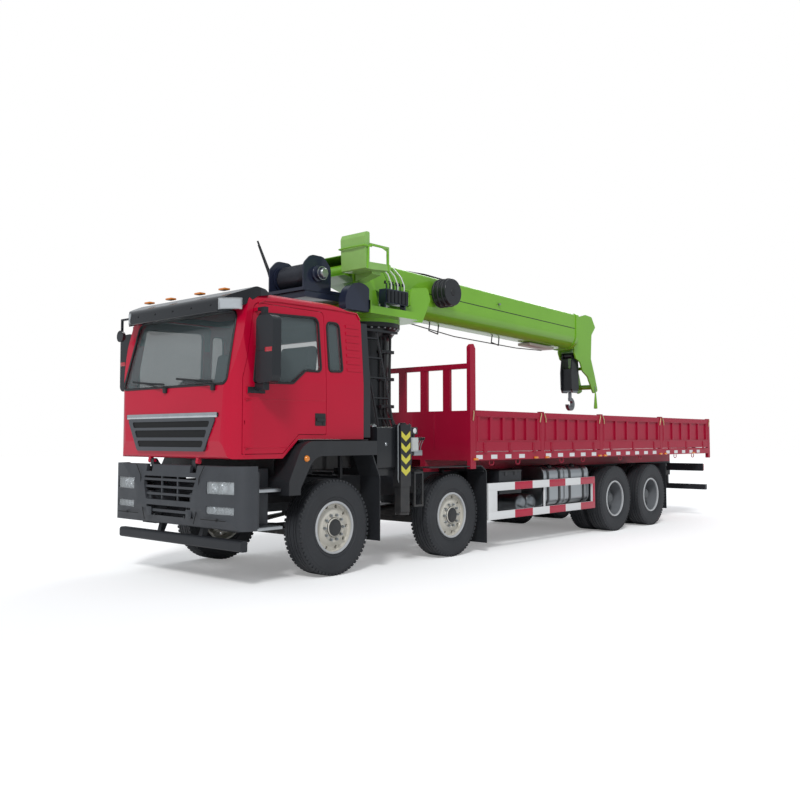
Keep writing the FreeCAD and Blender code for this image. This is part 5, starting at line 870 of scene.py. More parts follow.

# Rims: pressed steel discs. The steered ones are enamelled cream with hand holes, ten nuts and
# a black hub cap; the driven ones are silver-grey, here a darker grey that is partly painted
# shade of their deep dishes, with a grey hub, inside a pale flange.
front_rim_paint = zoned("cream_rim_with_black_hub", ("#c9c6bd", "#b9b5aa", 0.42, 0.0, 0.2), [])
# The driven rims' grey is darker than their silver-grey enamel: partly painted shade of the deep
# dish.
rim_grey_and_painted_shade = plain("grey_rim_enamel_and_painted_shade", "#75787c", 0.45, depth=0.1)
pale_rim_paint = plain("pale_rim_flange", "#b9bbbd", 0.4, depth=0.1)
hub_black = plain("black_hub_cap", "#2a2b2c", 0.45, depth=0.15)
hub_grey = plain("grey_axle_hub", "#55585b", 0.5, depth=0.15)
wheel_nuts = pattern("nuts_round_a_hub", [
    ("Count", "Int"), ("Ring Radius", "Float"), ("Nut Radius", "Float"),
    ("Nut Height", "Float"), ("Stud Radius", "Float"), ("Stud Height", "Float")])
sizes = add(wheel_nuts, "NodeGroupInput")
ring = add(wheel_nuts, "GeometryNodeMeshCircle", inputs={
    "Vertices": sizes.outputs["Count"], "Radius": sizes.outputs["Ring Radius"]})
nut = add(wheel_nuts, "GeometryNodeMeshCylinder", inputs={
    "Vertices": 6, "Radius": sizes.outputs["Nut Radius"],
    "Depth": sizes.outputs["Nut Height"]})
stud = add(wheel_nuts, "GeometryNodeMeshCylinder", inputs={
    "Vertices": 8, "Radius": sizes.outputs["Stud Radius"],
    "Depth": sizes.outputs["Stud Height"]})
pair = add(wheel_nuts, "GeometryNodeJoinGeometry")
wheel_nuts.links.new(nut.outputs["Mesh"], pair.inputs[0])
wheel_nuts.links.new(stud.outputs["Mesh"], pair.inputs[0])
set_out = add(wheel_nuts, "GeometryNodeInstanceOnPoints", inputs={
    "Points": ring.outputs["Mesh"], "Instance": pair.outputs[0]})
real = add(wheel_nuts, "GeometryNodeRealizeInstances", inputs={
    "Geometry": set_out.outputs["Instances"]})
coated = add(wheel_nuts, "GeometryNodeSetMaterial", inputs={
    "Geometry": real.outputs[0], "Material": zinc})
add(wheel_nuts, "NodeGroupOutput", inputs={"Geometry": coated.outputs[0]})
for number, x in enumerate(AXLES, 1):
    for side, sign in (("left", 1), ("right", -1)):
        steered = number < 3
        body = f"wheel_{number}_{side}" if steered else f"wheels_{number}_{side}"
        middle = sign * (FRONT_TRACK if steered else TWIN_OUTER - TWIN_PITCH / 2)
        outward = Matrix.Rotation(-math.pi / 2 * sign, 4, "X")
        face = 0.096 if steered else 0.014
        nuts = grown("wheel_nuts", wheel_nuts, {
            "Count": 10, "Ring Radius": 0.1425 if steered else 0.167, "Nut Radius": 0.017,
            "Nut Height": 0.026, "Stud Radius": 0.010, "Stud Height": 0.052},
            Matrix.Translation((x, middle + sign * (face + 0.012), TYRE_RADIUS)) @ outward)
        finished(f"wheel_nuts_{number}_{side}", nuts, zinc if steered else rim_grey_and_painted_shade,
                 body, smooth=False)
        hub_skin = hub_black if steered else hub_grey
        centre = (x, middle, TYRE_RADIUS)
        if steered:
            cap_rows = [(0.048, 0.130), (0.052, 0.141), (0.080, 0.140), (0.094, 0.131),
                        (0.112, 0.112), (0.116, 0.099), (0.050, 0.099)]
            lid_rows = [(0.004, 0.143), (0.052, 0.142), (0.052, 0.131), (0.004, 0.131)]
        else:
            cap_rows = [(0.060, 0.200), (0.066, 0.212), (0.080, 0.208), (0.118, 0.156),
                        (0.121, 0.020), (0.060, 0.020)]
            lid_rows = [(0.004, 0.214), (0.062, 0.212), (0.062, 0.200), (0.004, 0.200)]
        turned(f"hub_cap_{number}_{side}", cap_rows, centre, sign, 40, hub_skin, body)
        turned(f"hub_lid_{number}_{side}", lid_rows, centre, sign, 28, hub_skin, body)
        dress(f"rim_{number}_{side}" if steered else f"rims_{number}_{side}",
              front_rim_paint if steered else rim_grey_and_painted_shade)
        edge = 0.1265 if steered else TWIN_PITCH / 2 + 0.1265
        turned(f"rim_flange_{number}_{side}", [
            (0.272, edge - 0.020), (0.272, edge), (0.278, edge + 0.005), (0.292, edge + 0.005),
            (0.298, edge - 0.001), (0.298, edge - 0.010)], centre, sign, 72, pale_rim_paint,
            body)

# Tanks and boxes: two fuel tanks of rolled aluminium in strapped cradles, painted air tanks, and
# a black plastic battery box. Straps are flat steel with a strip of rubber under them.
TANK_ENDS = ((0.170, -0.410), (-0.430, -1.170))
TANK_BOTTOM = 0.525
TANK_TOP = 1.115
TANK_IN = 0.560
TANK_OUT = 1.150
tank_skin = zoned("rolled_aluminium_tanks", ("#2a2c30", "#222428", 0.5, 0.0, 0.1), [
    ((-1.19, 0.50, 0.50), (0.19, 1.20, 1.13), ("#aeb2b5", "#9a9fa3", 0.33, 1.0)),
    ((0.20, 0.56, 0.45), (0.80, 1.20, 0.74), ("#8f9498", "#7f8488", 0.35, 1.0))], even=False)
dress("tanks", tank_skin)
tank_outline = [(TANK_IN, TANK_BOTTOM, 0.12), (TANK_OUT, TANK_BOTTOM, 0.12),
                (TANK_OUT, TANK_TOP, 0.12), (TANK_IN, TANK_TOP, 0.12)]
straps = []
seams = []
for front, rear in TANK_ENDS:
    for share in (0.22, 0.78):
        x = front + (rear - front) * share
        straps.append([(x, point.x, point.y) for point in rounded(tank_outline, 8)])
    for x in (front - 0.006, rear + 0.006):
        seams.append([(x, point.x, point.y) for point in rounded(tank_outline, 8)])
strap_steel = plain("black_tank_strap", "#26282b", 0.42, depth=0.1)
build = bmesh.new()
for path in straps:
    count = len(path)
    middle = Vector((path[0][0], (TANK_IN + TANK_OUT) / 2, (TANK_BOTTOM + TANK_TOP) / 2))
    rings = []
    for point in path:
        out = (Vector(point) - middle).normalized() * 0.009
        out.x = 0
        base = Vector(point)
        rings.append([build.verts.new(base + shift + out * lift)
                      for shift, lift in ((Vector((-0.026, 0, 0)), 0.0),
                                          (Vector((-0.026, 0, 0)), 1.0),
                                          (Vector((0.026, 0, 0)), 1.0),
                                          (Vector((0.026, 0, 0)), 0.0))])
    for index in range(count):
        low, high = rings[index], rings[(index + 1) % count]
        for step in range(4):
            after = (step + 1) % 4
            build.faces.new((low[step], low[after], high[after], high[step]))
bmesh.ops.recalc_face_normals(build, faces=build.faces)
shaped("tank_straps", build, strap_steel, "chassis")
bars("tank_end_seams", seams, 0.007, tread_metal, "chassis", closed=True, sides=6)
caps = bmesh.new()
for x in (-0.120, -0.800):
    turned_dish(caps, (x, 1.060, 1.112), 0.052, -0.040, (0, 0.35, 1), steps=24)
bmesh.ops.recalc_face_normals(caps, faces=caps.faces)
shaped("filler_caps", caps, shell_black, "chassis")
blocks("battery_lid", [((0.765, 0.548, 1.074), (1.335, 1.160, 1.096)),
                       ((0.90, 1.150, 1.020), (0.96, 1.158, 1.080)),
                       ((1.14, 1.150, 1.020), (1.20, 1.158, 1.080))], shell_black, "chassis",
       edge=0.008)

# Guard rails: folded sheet steel bolted to outriggers from the frame. The side guards are white
# with bands of red foil; front and rear bars are chassis black.
BAND_START = 1.044
BAND_LENGTH = 0.462


def foil_bands(tree, split):
    """One on the red bands of the side guards, counted back from where the first one starts."""
    along = add(tree, "ShaderNodeMath", {"operation": "SUBTRACT"}, {
        0: BAND_START, 1: split.outputs[0]})
    pairs = add(tree, "ShaderNodeMath", {"operation": "DIVIDE"}, {
        0: along.outputs[0], 1: 2 * BAND_LENGTH})
    share = add(tree, "ShaderNodeMath", {"operation": "FRACT"}, {0: pairs.outputs[0]})
    first = add(tree, "ShaderNodeMath", {"operation": "LESS_THAN"}, {
        0: share.outputs[0], 1: 0.5})
    behind = add(tree, "ShaderNodeMath", {"operation": "GREATER_THAN"}, {
        0: along.outputs[0], 1: 0.0})
    ahead_of = add(tree, "ShaderNodeMath", {"operation": "LESS_THAN"}, {
        0: along.outputs[0], 1: 3.0})
    both_true = add(tree, "ShaderNodeMath", {"operation": "MULTIPLY"}, {
        0: first.outputs[0], 1: behind.outputs[0]})
    return add(tree, "ShaderNodeMath", {"operation": "MULTIPLY"}, {
        0: both_true.outputs[0], 1: ahead_of.outputs[0]}).outputs[0]


dress("guard_rails", zoned("banded_guard_rails", ("#2b2d31", "#232529", 0.5, 0.0, 0.1), [
    ((-1.30, 1.180, 0.40), (1.72, 1.30, 0.95), ("#d9dadb", "#cfd0d1", 0.4, 0.0))]))
guard_bands = zoned("guard_bands_white_and_red", ("#dcdddd", "#d2d3d4", 0.38, 0.0, 0.3), [],
                    extra=(foil_bands, ("#b5173a", "#a31434", 0.38, 0.0)))
for side, sign in (("left", 1), ("right", -1)):
    out = sign * 1.2215
    blocks(f"guard_foil_{side}", [
        ((-1.260, out, 0.4255), (1.690, out + sign * 0.003, 0.5345)),
        ((-1.260, out, 0.8205), (1.690, out + sign * 0.003, 0.9295)),
        ((1.480, out, 0.5345), (1.690, out + sign * 0.003, 0.8205)),
        ((-1.260, out, 0.5345), (-1.190, out + sign * 0.003, 0.8205))], guard_bands, "chassis",
        edge=0.001)

# Bed: a welded frame of channels and pressed sheet in a duller red. Its side rail carries
# squares of white foil and small amber lamps; a tall headboard stands at its front.
bed_red = paint("dull_red_bed_enamel", "#a60c34", "#92092a", rough=0.42, coat=0.08,
                dust_top=1.5, dust_share=0.35)
dress("bed_frame", bed_red)
for number in (1, 2, 3, 4):
    for side in ("left", "right"):
        dress(f"gate_{number}_{side}", bed_red)
dress("tailgate", bed_red)
catch_zinc = plain("zinc_yellow_catch", "#cdb488", 0.4, metallic=0.6)
foil_white = plain("white_marking_foil", "#e4e5e6", 0.35, depth=0.05, coat=0.4)
foil_squares = pattern("foil_along_the_rail", [
    ("Count", "Int"), ("Start", "Vector"), ("Step", "Vector"), ("Foil Size", "Vector")])
sizes = add(foil_squares, "NodeGroupInput")
line = add(foil_squares, "GeometryNodeMeshLine", inputs={
    "Count": sizes.outputs["Count"], "Start Location": sizes.outputs["Start"],
    "Offset": sizes.outputs["Step"]})
square = add(foil_squares, "GeometryNodeMeshCube", inputs={"Size": sizes.outputs["Foil Size"]})
squares = add(foil_squares, "GeometryNodeInstanceOnPoints", inputs={
    "Points": line.outputs["Mesh"], "Instance": square.outputs["Mesh"]})
real = add(foil_squares, "GeometryNodeRealizeInstances", inputs={
    "Geometry": squares.outputs["Instances"]})
coated = add(foil_squares, "GeometryNodeSetMaterial", inputs={
    "Geometry": real.outputs[0], "Material": foil_white})
add(foil_squares, "NodeGroupOutput", inputs={"Geometry": coated.outputs[0]})
for side, sign in (("left", 1), ("right", -1)):
    runs = []
    for start, count in ((1.900, 4), (0.148, 5), (-1.722, 6), (-4.010, 5)):
        runs.append(grown(f"rail_foil_{side}", foil_squares, {
            "Count": count, "Start": (start, sign * 1.2308, 1.296), "Step": (-0.345, 0.0, 0.0),
            "Foil Size": (0.145, 0.002, 0.056)}))
    finished(f"rail_foil_{side}", gathered(runs, f"rail_foil_{side}"), foil_white, "chassis",
             smooth=False)
    marker_rows = [((x - 0.045, sign * 1.225, 1.252), (x + 0.045, sign * 1.252, 1.284))
                   for x in (1.990, 0.500, 0.190, -1.420, -1.600, -3.690, -3.900, -5.150)]
    blocks(f"rail_markers_{side}", marker_rows, signal_amber, "chassis", edge=0.008)
    rope_hooks = []
    for x in (1.600, 0.950, -0.250, -0.900, -2.150, -2.900, -4.350, -5.150):
        rope_hooks.append([(x - 0.05, sign * 1.214, 1.246), (x - 0.05, sign * 1.214, 1.200),
                           (x - 0.03, sign * 1.214, 1.182), (x + 0.03, sign * 1.214, 1.182),
                           (x + 0.05, sign * 1.214, 1.200), (x + 0.05, sign * 1.214, 1.246)])
    bars(f"rope_hooks_{side}", rope_hooks, 0.007, bed_red, "chassis")
    catches = []
    for x, reach in ((2.035, 0.03), (0.350, 0.07), (0.260, -0.07), (-1.445, 0.07),
                     (-1.535, -0.07), (-3.700, 0.07), (-3.790, -0.07), (-5.940, 0.06)):
        catches.append([(x, sign * 1.236, 1.925), (x, sign * 1.243, 1.900),
                        (x + reach * 0.35, sign * 1.245, 1.850),
                        (x + reach * 0.55, sign * 1.240, 1.790)])
    bars(f"gate_catches_{side}", catches, 0.008, catch_zinc, "chassis")
blocks("post_caps", [((x - 0.049, sign * 1.166, 1.941), (x + 0.049, sign * 1.234, 1.947))
                     for x in (0.305, -1.490, -3.745) for sign in (1, -1)], bed_red, "chassis",
       edge=0.003)
headboard_ribs = [((2.036, y - 0.020, 1.385), (2.102, y + 0.020, 1.900))
                  for y in (-0.6105, -0.2035, 0.2035, 0.6105)]
blocks("headboard_ribs", headboard_ribs, bed_red, "chassis", edge=0.010)

# Gates: each pressed panel has a rolled edge, two drop latches and hinge straps held by rivets.
gate_rows = ((1, 1.972, 0.358), (2, 0.252, -1.437), (3, -1.543, -3.692), (4, -3.798, -5.879))
for number, front, rear in gate_rows:
    for side, sign in (("left", 1), ("right", -1)):
        body = f"gate_{number}_{side}"
        face = sign * 1.2305
        middle = (front + rear) / 2
        rims = [[(front - 0.030, face, 1.512), (front - 0.030, face, 1.852),
                 (rear + 0.030, face, 1.852), (rear + 0.030, face, 1.512)]]
        bars(f"gate_bead_{number}_{side}", rims, 0.005, bed_red, body, closed=True,
             sides=6)
        span = (front - rear) * 0.76
        straps_on = [((middle + (step / 2 - 0.5) * span - 0.028, face - sign * 0.002, 1.374),
                      (middle + (step / 2 - 0.5) * span + 0.028, face + sign * 0.007, 1.492))
                     for step in range(3)]
        blocks(f"gate_straps_{number}_{side}", straps_on, bed_red, body, edge=0.004)
        rivets = []
        for step in range(3):
            x = middle + (step / 2 - 0.5) * span
            rivets.append(grown("gate_rivets", line_fixings, {
                "Count": 3, "Start": (x, 0.0, 0.0), "Step": (0.0, 0.035, 0.0),
                "Head Radius": 0.009, "Head Height": 0.010, "Sides": 10},
                Matrix.Translation((0, face + sign * 0.008, 1.400))
                @ Matrix.Rotation(math.pi / 2, 4, "X")))
        finished(f"gate_rivets_{number}_{side}", gathered(rivets, "gate_rivets"), bed_red, body)

# Crane base: a welded black box across the frame with the outriggers in it, the round post and
# a ladder. On its left stand a control box with a dial and a row of levers for the jacks.
pit_black = paint("black_crane_enamel", "#1f2226", "#17191d", rough=0.42, coat=0.3,
                  dust_top=1.4, dust_share=0.25)
dress("crane_base", pit_black)
for side in ("left", "right"):
    dress(f"outrigger_beam_{side}", pit_black)
    dress(f"outrigger_leg_{side}", pit_black)
chevron_yellow = plain("yellow_marking_foil", "#d8cf3a", 0.36, depth=0.05, coat=0.4)
JACK_X = {"left": 3.4145, "right": 3.2535}
for side, sign in (("left", 1), ("right", -1)):
    build = bmesh.new()
    out = sign * 1.2255
    for number in range(4):
        tip = 1.090 + number * 0.140
        corners = [(-0.082, tip + 0.062), (0.0, tip), (0.082, tip + 0.062),
                   (0.082, tip + 0.130), (0.0, tip + 0.068), (-0.082, tip + 0.130)]
        low = [build.verts.new((JACK_X[side] + a, out - sign * 0.002, b)) for a, b in corners]
        high = [build.verts.new((JACK_X[side] + a, out, b)) for a, b in corners]
        for ring, order in ((low, (0, 1, 4, 5)), (low, (1, 2, 3, 4)), (high, (0, 1, 4, 5)),
                            (high, (1, 2, 3, 4))):
            build.faces.new([ring[place] for place in order])
        for place in range(6):
            after = (place + 1) % 6
            build.faces.new((low[place], low[after], high[after], high[place]))
    bmesh.ops.recalc_face_normals(build, faces=build.faces)
    shaped(f"jack_chevrons_{side}", build, chevron_yellow, f"outrigger_{side}",
           smooth=False)
    jack = JACK_X[side]
    blocks(f"jack_cap_{side}", [
        ((jack - 0.100, sign * 1.096, 1.706), (jack + 0.100, sign * 1.228, 1.722)),
        ((jack - 0.040, sign * 1.130, 1.720), (jack + 0.040, sign * 1.196, 1.742))],
        pit_black, f"outrigger_{side}", edge=0.008)
    bars(f"jack_pipes_{side}", [
        [(jack + 0.090, sign * 1.200, 1.730), (jack + 0.118, sign * 1.200, 1.700),
         (jack + 0.118, sign * 1.200, 1.050), (jack + 0.090, sign * 1.190, 1.010)],
        [(jack - 0.090, sign * 1.200, 1.730), (jack - 0.116, sign * 1.200, 1.700),
         (jack - 0.116, sign * 1.200, 1.300), (jack - 0.090, sign * 1.190, 1.260)]],
        0.008, zinc, f"outrigger_{side}")
box_white = plain("white_control_box", "#c9cccb", 0.45, depth=0.1)
blocks("control_box", [((3.085, 1.060, 1.385), (3.225, 1.150, 1.560)),
                       ((3.095, 1.146, 1.400), (3.215, 1.156, 1.545))], box_white, "chassis",
       edge=0.008)
blocks("control_box_arm", [((3.120, 1.050, 1.340), (3.190, 1.110, 1.392))], pit_black,
       "chassis", edge=0.003)
blocks("level_box", [((3.095, 1.075, 1.600), (3.215, 1.146, 1.690)),
                     ((3.130, 1.085, 1.545), (3.180, 1.130, 1.610))], pit_black, "chassis",
       edge=0.010)
dial = bmesh.new()
turned_dish(dial, (3.155, 1.148, 1.645), 0.034, -0.006, (0, 1, 0), steps=28)
bmesh.ops.recalc_face_normals(dial, faces=dial.faces)
shaped("level_dial", dial, foil_white, "chassis")
jack_levers = []
lever_knobs = []
for number in range(4):
    x = 3.040 - number * 0.042
    jack_levers.append([(x, 1.020, 1.360), (x, 1.050, 1.470), (x, 1.085, 1.530)])
    lever_knobs.append([(x, 1.083, 1.528), (x, 1.092, 1.545), (x, 1.099, 1.560)])
bars("jack_levers", jack_levers, 0.006, zinc, "chassis")
bars("jack_lever_knobs", lever_knobs, 0.014, shell_black, "chassis")
blocks("jack_valves", [((2.890, 0.965, 1.330), (3.065, 1.050, 1.400))], zinc, "chassis",
       edge=0.006)
post_bolts = pattern("bolts_round_the_post", [
    ("Count", "Int"), ("Ring Radius", "Float"), ("Head Radius", "Float"),
    ("Head Height", "Float")])
sizes = add(post_bolts, "NodeGroupInput")
ring = add(post_bolts, "GeometryNodeMeshCircle", inputs={
    "Vertices": sizes.outputs["Count"], "Radius": sizes.outputs["Ring Radius"]})
head = add(post_bolts, "GeometryNodeMeshCylinder", inputs={
    "Vertices": 6, "Radius": sizes.outputs["Head Radius"],
    "Depth": sizes.outputs["Head Height"]})
heads = add(post_bolts, "GeometryNodeInstanceOnPoints", inputs={
    "Points": ring.outputs["Mesh"], "Instance": head.outputs["Mesh"]})
real = add(post_bolts, "GeometryNodeRealizeInstances", inputs={
    "Geometry": heads.outputs["Instances"]})
coated = add(post_bolts, "GeometryNodeSetMaterial", inputs={
    "Geometry": real.outputs[0], "Material": zinc})
add(post_bolts, "NodeGroupOutput", inputs={"Geometry": coated.outputs[0]})
finished("post_bolts", grown("post_bolts", post_bolts, {
    "Count": 28, "Ring Radius": 0.425, "Head Radius": 0.016, "Head Height": 0.024},
    Matrix.Translation((2.820, 0, 3.040))), zinc, "chassis", smooth=False)

# Post fittings: hoses rise from the pump to the slewing ring, held to the post by clamps, and
# the oil tank has its filter lid and a sight glass.
hose_black = plain("black_hydraulic_hose", "#17181b", 0.5, depth=0.2)
risers = []
for number in range(5):
    y = 0.315 + 0.030 * (number % 2)
    x = 2.700 + 0.050 * number
    risers.append([(x, 0.560 + 0.02 * number, 1.600), (x, 0.420, 1.700), (x, y, 1.900),
                   (x, y, 2.500), (x, y + 0.010, 2.900), (x, 0.300, 3.035)])
bars("post_hoses", risers, 0.012, hose_black, "chassis")
blocks("post_hose_clamps", [((2.672, 0.290, up - 0.022), (2.930, 0.368, up + 0.022))
                            for up in (1.980, 2.350, 2.720)], pit_black, "chassis",
       edge=0.004)
oil_fittings = bmesh.new()
turned_dish(oil_fittings, (3.690, 0.925, 1.688), 0.055, -0.040, (0, 0, 1), steps=24)
turned_dish(oil_fittings, (3.690, 1.148, 1.480), 0.026, -0.014, (0, 1, 0), steps=20)
bmesh.ops.recalc_face_normals(oil_fittings, faces=oil_fittings.faces)
shaped("oil_tank_fittings", oil_fittings, zinc, "chassis")

# Turret: lime green plates with the valve block, its levers and a black cover over the slewing
# gear. Thin hoses fan from the valves to the boom.
CRANE_GREEN = ("#7ab62c", "#6ea827", 0.34, 0.0, 0.55)
DARK_CAST = ("#1e2125", "#191b1f", 0.5, 0.0)
turret_skin = zoned("lime_turret_with_black_valves", CRANE_GREEN, [
    ((2.650, 0.652, 3.186), (3.200, 0.900, 3.640), DARK_CAST),
    ((2.680, 0.5095, 3.300), (3.150, 0.700, 3.640), DARK_CAST),
    ((3.300, 0.508, 3.205), (3.900, 0.640, 3.560), DARK_CAST)])
dress("turret", turret_skin)
lime = paint("lime_boom_enamel", "#7ab62c", "#6ea827", rough=0.34, coat=0.55, dust_share=0.0)
knobs = []
for number in range(6):
    x = 2.770 + 0.070 * number - 0.035
    knobs.append([(x, 0.570, 3.592), (x, 0.572, 3.612), (x, 0.574, 3.634)])
bars("valve_knobs", knobs, 0.014, shell_black, "turret")
fan = []
fan_pale = []
for number in range(6):
    x = 2.730 + 0.065 * number
    run = [(x, 0.600, 3.515), (x + 0.010, 0.610, 3.600), (x + 0.040, 0.575, 3.720),
           (x + 0.090, 0.530, 3.800), (x + 0.120, 0.510, 3.840)]
    (fan if number % 2 else fan_pale).append(run)
bars("valve_hoses", fan, 0.009, plain("green_sheathed_hose", "#5f9a24", 0.5), "turret")
bars("valve_pipes", fan_pale, 0.008, foil_white, "turret")
blocks("valve_bank", [((2.700 + 0.072 * number, 0.632, 3.342),
                       (2.756 + 0.072 * number, 0.650, 3.505)) for number in range(6)],
       plain("phosphated_valve_block", "#2b2f33", 0.45, metallic=0.5), "turret",
       edge=0.006)
bars("turret_grab_rail", [[(2.560, 0.508, 3.350), (2.560, 0.560, 3.370), (2.570, 0.560, 3.560),
                           (2.600, 0.508, 3.580)]], 0.011, lime, "turret")

# Winch: a navy frame and flanged drum wound with steel rope, driven by a motor with a bare
# aluminium end.
navy = paint("navy_winch_enamel", "#252c40", "#1d2334", rough=0.36, coat=0.45, dust_share=0.0)
dress("winch_frame", navy)
dress("winch_drum", navy)
rope_steel = plain("greased_steel_rope", "#34373f", 0.4, metallic=0.6, depth=0.4)
blocks("winch_skirt", [((3.590, -0.340, 3.300), (4.290, 0.340, 3.3845))], navy, "turret",
       edge=0.010)
turns = []
for layer, (radius, count) in enumerate(((0.131, 24), (0.150, 23))):
    helix = []
    for step in range(count * 16 + 1):
        share = step / (count * 16)
        along = (share - 0.5) * (0.54 - 0.02 * layer) * (1 if layer == 0 else -1)
        angle = 2 * math.pi * step / 16
        helix.append((4.080 + radius * math.cos(angle), along,
                      3.610 + radius * math.sin(angle)))
    turns.append(helix)
bars("wound_rope", turns, 0.0115, rope_steel, "winch_drum", sides=6)
motor_end = bmesh.new()
lathe(motor_end, [(0.004, 0.475), (0.052, 0.475), (0.060, 0.467), (0.060, 0.430),
                  (0.086, 0.430), (0.086, 0.418), (0.004, 0.418)], (4.080, 0.0, 3.610), 1,
      steps=32)
bmesh.ops.recalc_face_normals(motor_end, faces=motor_end.faces)
shaped("winch_motor_end", motor_end, tread_metal, "turret")
bars("winch_guides", [
    [(4.020, -0.480, 3.420), (4.130, -0.520, 3.720), (4.290, -0.560, 4.080)],
    [(4.130, -0.440, 3.420), (4.180, -0.500, 3.720), (4.300, -0.560, 4.080)],
    [(4.290, -0.560, 4.080), (4.310, -0.568, 4.130)]], 0.013, pit_black, "turret")
blocks("winch_guide_feet", [((3.990, -0.510, 3.400), (4.160, -0.410, 3.440)),
                            ((3.980, -0.470, 3.386), (4.150, -0.290, 3.412))], pit_black,
       "turret", edge=0.004)

# Operator's seat: a moulded shell in a paler green that is held by a bent tube round its back,
# with a pedal box and armrests.
seat_green = plain("pale_green_seat_shell", "#8fbf62", 0.4, grain=0.004, depth=0.1, coat=0.2)
dress("operator_seat", seat_green)
bars("seat_guard", [
    [(3.840, 0.545, 3.640), (3.835, 0.535, 3.900), (3.800, 0.525, 3.935), (3.600, 0.525, 3.935),
     (3.480, 0.545, 3.900), (3.450, 0.550, 3.660)],
    [(3.840, 0.975, 3.640), (3.835, 0.985, 3.900), (3.800, 0.990, 3.935), (3.600, 0.990, 3.935),
     (3.480, 0.980, 3.900), (3.450, 0.970, 3.660)]], 0.012, lime, "turret")
bars("seat_back_band", [
    [(3.780, 0.533, 3.915), (3.905, 0.540, 3.918), (3.913, 0.760, 3.920), (3.905, 0.980, 3.918),
     (3.780, 0.987, 3.915)]], 0.010, lime, "turret")

# Boom: four nested hexagonal sections folded from high-strength plate. A seam runs along each
# side, with a thin black strip on it as painted shade where the plates overlap; the hose reel
# with its three ridges sits on the left near the heel.
BOOM_PIVOT = Vector((3.450, 0.0, 3.760))
BOOM_LEAN = math.radians(1.6)
boom_line = (Matrix.Translation(BOOM_PIVOT) @ Matrix.Rotation(-BOOM_LEAN, 4, "Y")
             @ Matrix.Rotation(math.pi, 4, "Z"))
boom_skin = zoned("lime_boom_with_black_reel", CRANE_GREEN, [
    ((1.440, 0.318, 3.400), (1.910, 0.700, 3.900), DARK_CAST)])
dress("boom_base", boom_skin)
for number in (2, 3, 4):
    dress(f"boom_section_{number}", lime)


def along_boom(along, across, up):
    """A point given in the boom's own line, from its pivot to its nose, as a place."""
    return tuple(boom_line @ Vector((along, -across, up)))


# A thin black strip on each side of the boom: painted shade along the overlapping seam.
for side, sign in (("left", 1), ("right", -1)):
    out = sign * 0.3015
    seam_shade = bmesh.new()
    rows = [(1.30, -0.082), (5.740, -0.082), (5.740, -0.070), (1.30, -0.070)]
    low = [seam_shade.verts.new(along_boom(a, out - sign * 0.004, b)) for a, b in rows]
    high = [seam_shade.verts.new(along_boom(a, out, b)) for a, b in rows]
    seam_shade.faces.new(low)
    seam_shade.faces.new(high)
    for place in range(4):
        after = (place + 1) % 4
        seam_shade.faces.new((low[place], low[after], high[after], high[place]))
    bmesh.ops.recalc_face_normals(seam_shade, faces=seam_shade.faces)
    shaped(f"boom_seam_painted_shade_{side}", seam_shade, seal_rubber, "boom_1",
           smooth=False)
REEL_AT = (1.770, -0.060)
reel = bmesh.new()
centre = along_boom(REEL_AT[0], 0.0, REEL_AT[1])
for across in (0.395, 0.475, 0.555):
    lathe(reel, [(0.150, across - 0.018), (0.200, across - 0.018), (0.208, across - 0.010),
                 (0.208, across + 0.010), (0.200, across + 0.018), (0.150, across + 0.018)],
          centre, 1, steps=48)
lathe(reel, [(0.004, 0.632), (0.050, 0.632), (0.056, 0.624), (0.120, 0.618), (0.125, 0.598),
             (0.004, 0.598)], centre, 1, steps=36)
bmesh.ops.recalc_face_normals(reel, faces=reel.faces)
shaped("hose_reel_ridges", reel, shell_black, "boom_1")
bars("boom_top_pipes", [
    [along_boom(1.20, 0.210, 0.196), along_boom(1.60, 0.230, 0.215),
     along_boom(2.30, 0.230, 0.205), along_boom(2.45, 0.200, 0.195)],
    [along_boom(1.25, 0.170, 0.196), along_boom(1.70, 0.180, 0.225),
     along_boom(2.10, 0.170, 0.215), along_boom(2.25, 0.140, 0.195)]], 0.012, hose_black,
    "boom_1")
blocks("boom_clamps", [((-0.020, -0.030, -0.014), (0.020, 0.030, 0.014))], zinc, "boom_1",
       edge=0.004,
       move=Matrix.Translation(along_boom(3.350, 0.308, 0.020)))
limit_line = [along_boom(1.250, 0.0, -0.470), along_boom(2.60, 0.0, -0.560),
              along_boom(4.30, 0.0, -0.560), along_boom(5.10, 0.0, -0.520)]
bars("feed_line", [limit_line], 0.008, hose_black, "boom_1")
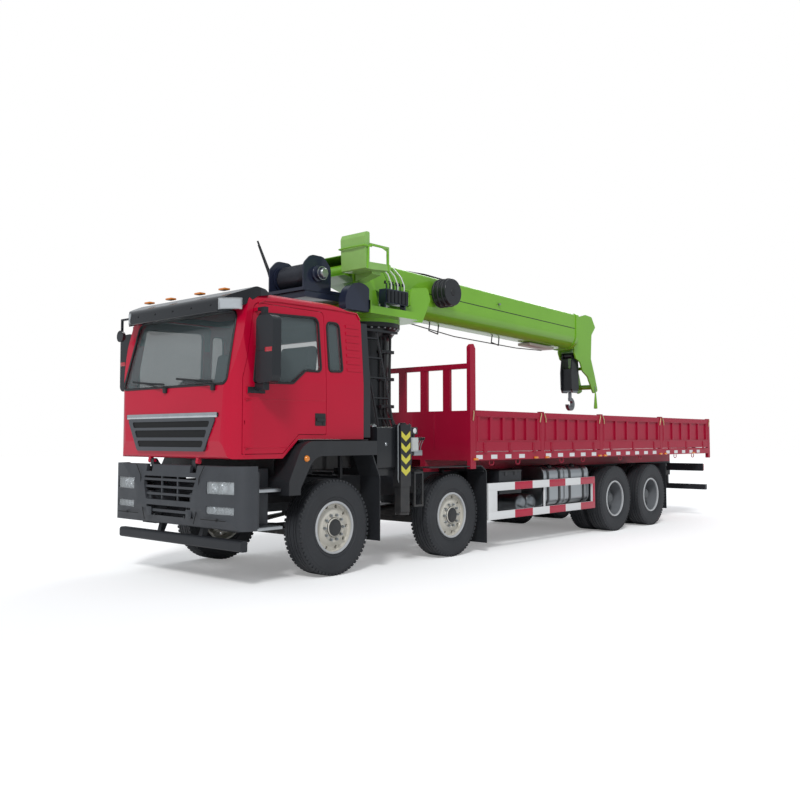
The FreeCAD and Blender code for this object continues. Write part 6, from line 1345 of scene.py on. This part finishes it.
bars("feed_line_brackets", [
    [along_boom(a - 0.16, 0.05, -0.432), along_boom(a - 0.14, 0.02, -0.545),
     along_boom(a + 0.12, -0.02, -0.565), along_boom(a + 0.16, -0.04, -0.432)]
    for a in (2.10, 3.70)], 0.010, pit_black, "boom_1")
blocks("stowed_hook_saddle", [((-0.42, -0.12, -0.030), (0.36, 0.12, 0.020))],
       plain("galvanised_saddle_plate", "#b7ada0", 0.42, metallic=0.4, depth=0.3), "boom_1",
       edge=0.010,
       move=Matrix.Translation(along_boom(4.90, 0.0, -0.462))
       @ Matrix.Rotation(-BOOM_LEAN, 4, "Y"))

# Boom nose and hook: the black block with its sheaves and a bare forged hook with a spring
# latch; the lifting stop's weight hangs from the nose's low end on a short cable.
dress("hook_block", zoned("black_block_and_bare_hook", ("#202327", "#181b1e", 0.4, 0.0, 0.3), [
    ((-3.20, 0.0, 2.00), (-2.30, 0.30, 2.42), ("#8b8f93", "#777b7f", 0.36, 1.0))]))
dress("lift_barrel", lime)
dress("lift_rod", plain("hard_chromed_rod", "#c4c8cc", 0.1, metallic=1.0, depth=0.02,
                        spread=0.04))
STOP_EYE = Vector(along_boom(6.690, 0.186, -1.060))
STOP_DROP = 0.100
bars("stop_cable", [[tuple(STOP_EYE + Vector((0, -0.02, 0.03))), tuple(STOP_EYE),
                     tuple(STOP_EYE - Vector((0, 0, STOP_DROP + 0.010)))]], 0.006, zinc,
     "boom_4")
weight = bmesh.new()
hang = STOP_EYE - Vector((0, 0, STOP_DROP))
rings = []
WEIGHT_SIDES = 16
for radius, down in ((0.006, 0.0), (0.014, 0.02), (0.034, 0.28), (0.034, 0.305), (0.004, 0.31)):
    ring = []
    for step in range(WEIGHT_SIDES):
        angle = 2 * math.pi * step / WEIGHT_SIDES
        ring.append(weight.verts.new(hang + Vector((
            radius * math.cos(angle), radius * math.sin(angle), -down))))
    rings.append(ring)
for low, high in zip(rings, rings[1:]):
    for step in range(WEIGHT_SIDES):
        after = (step + 1) % WEIGHT_SIDES
        weight.faces.new((low[step], low[after], high[after], high[step]))
weight.faces.new(rings[0])
weight.faces.new(rings[-1])
bmesh.ops.recalc_face_normals(weight, faces=weight.faces)
shaped("stop_weight", weight, lime, "boom_4")
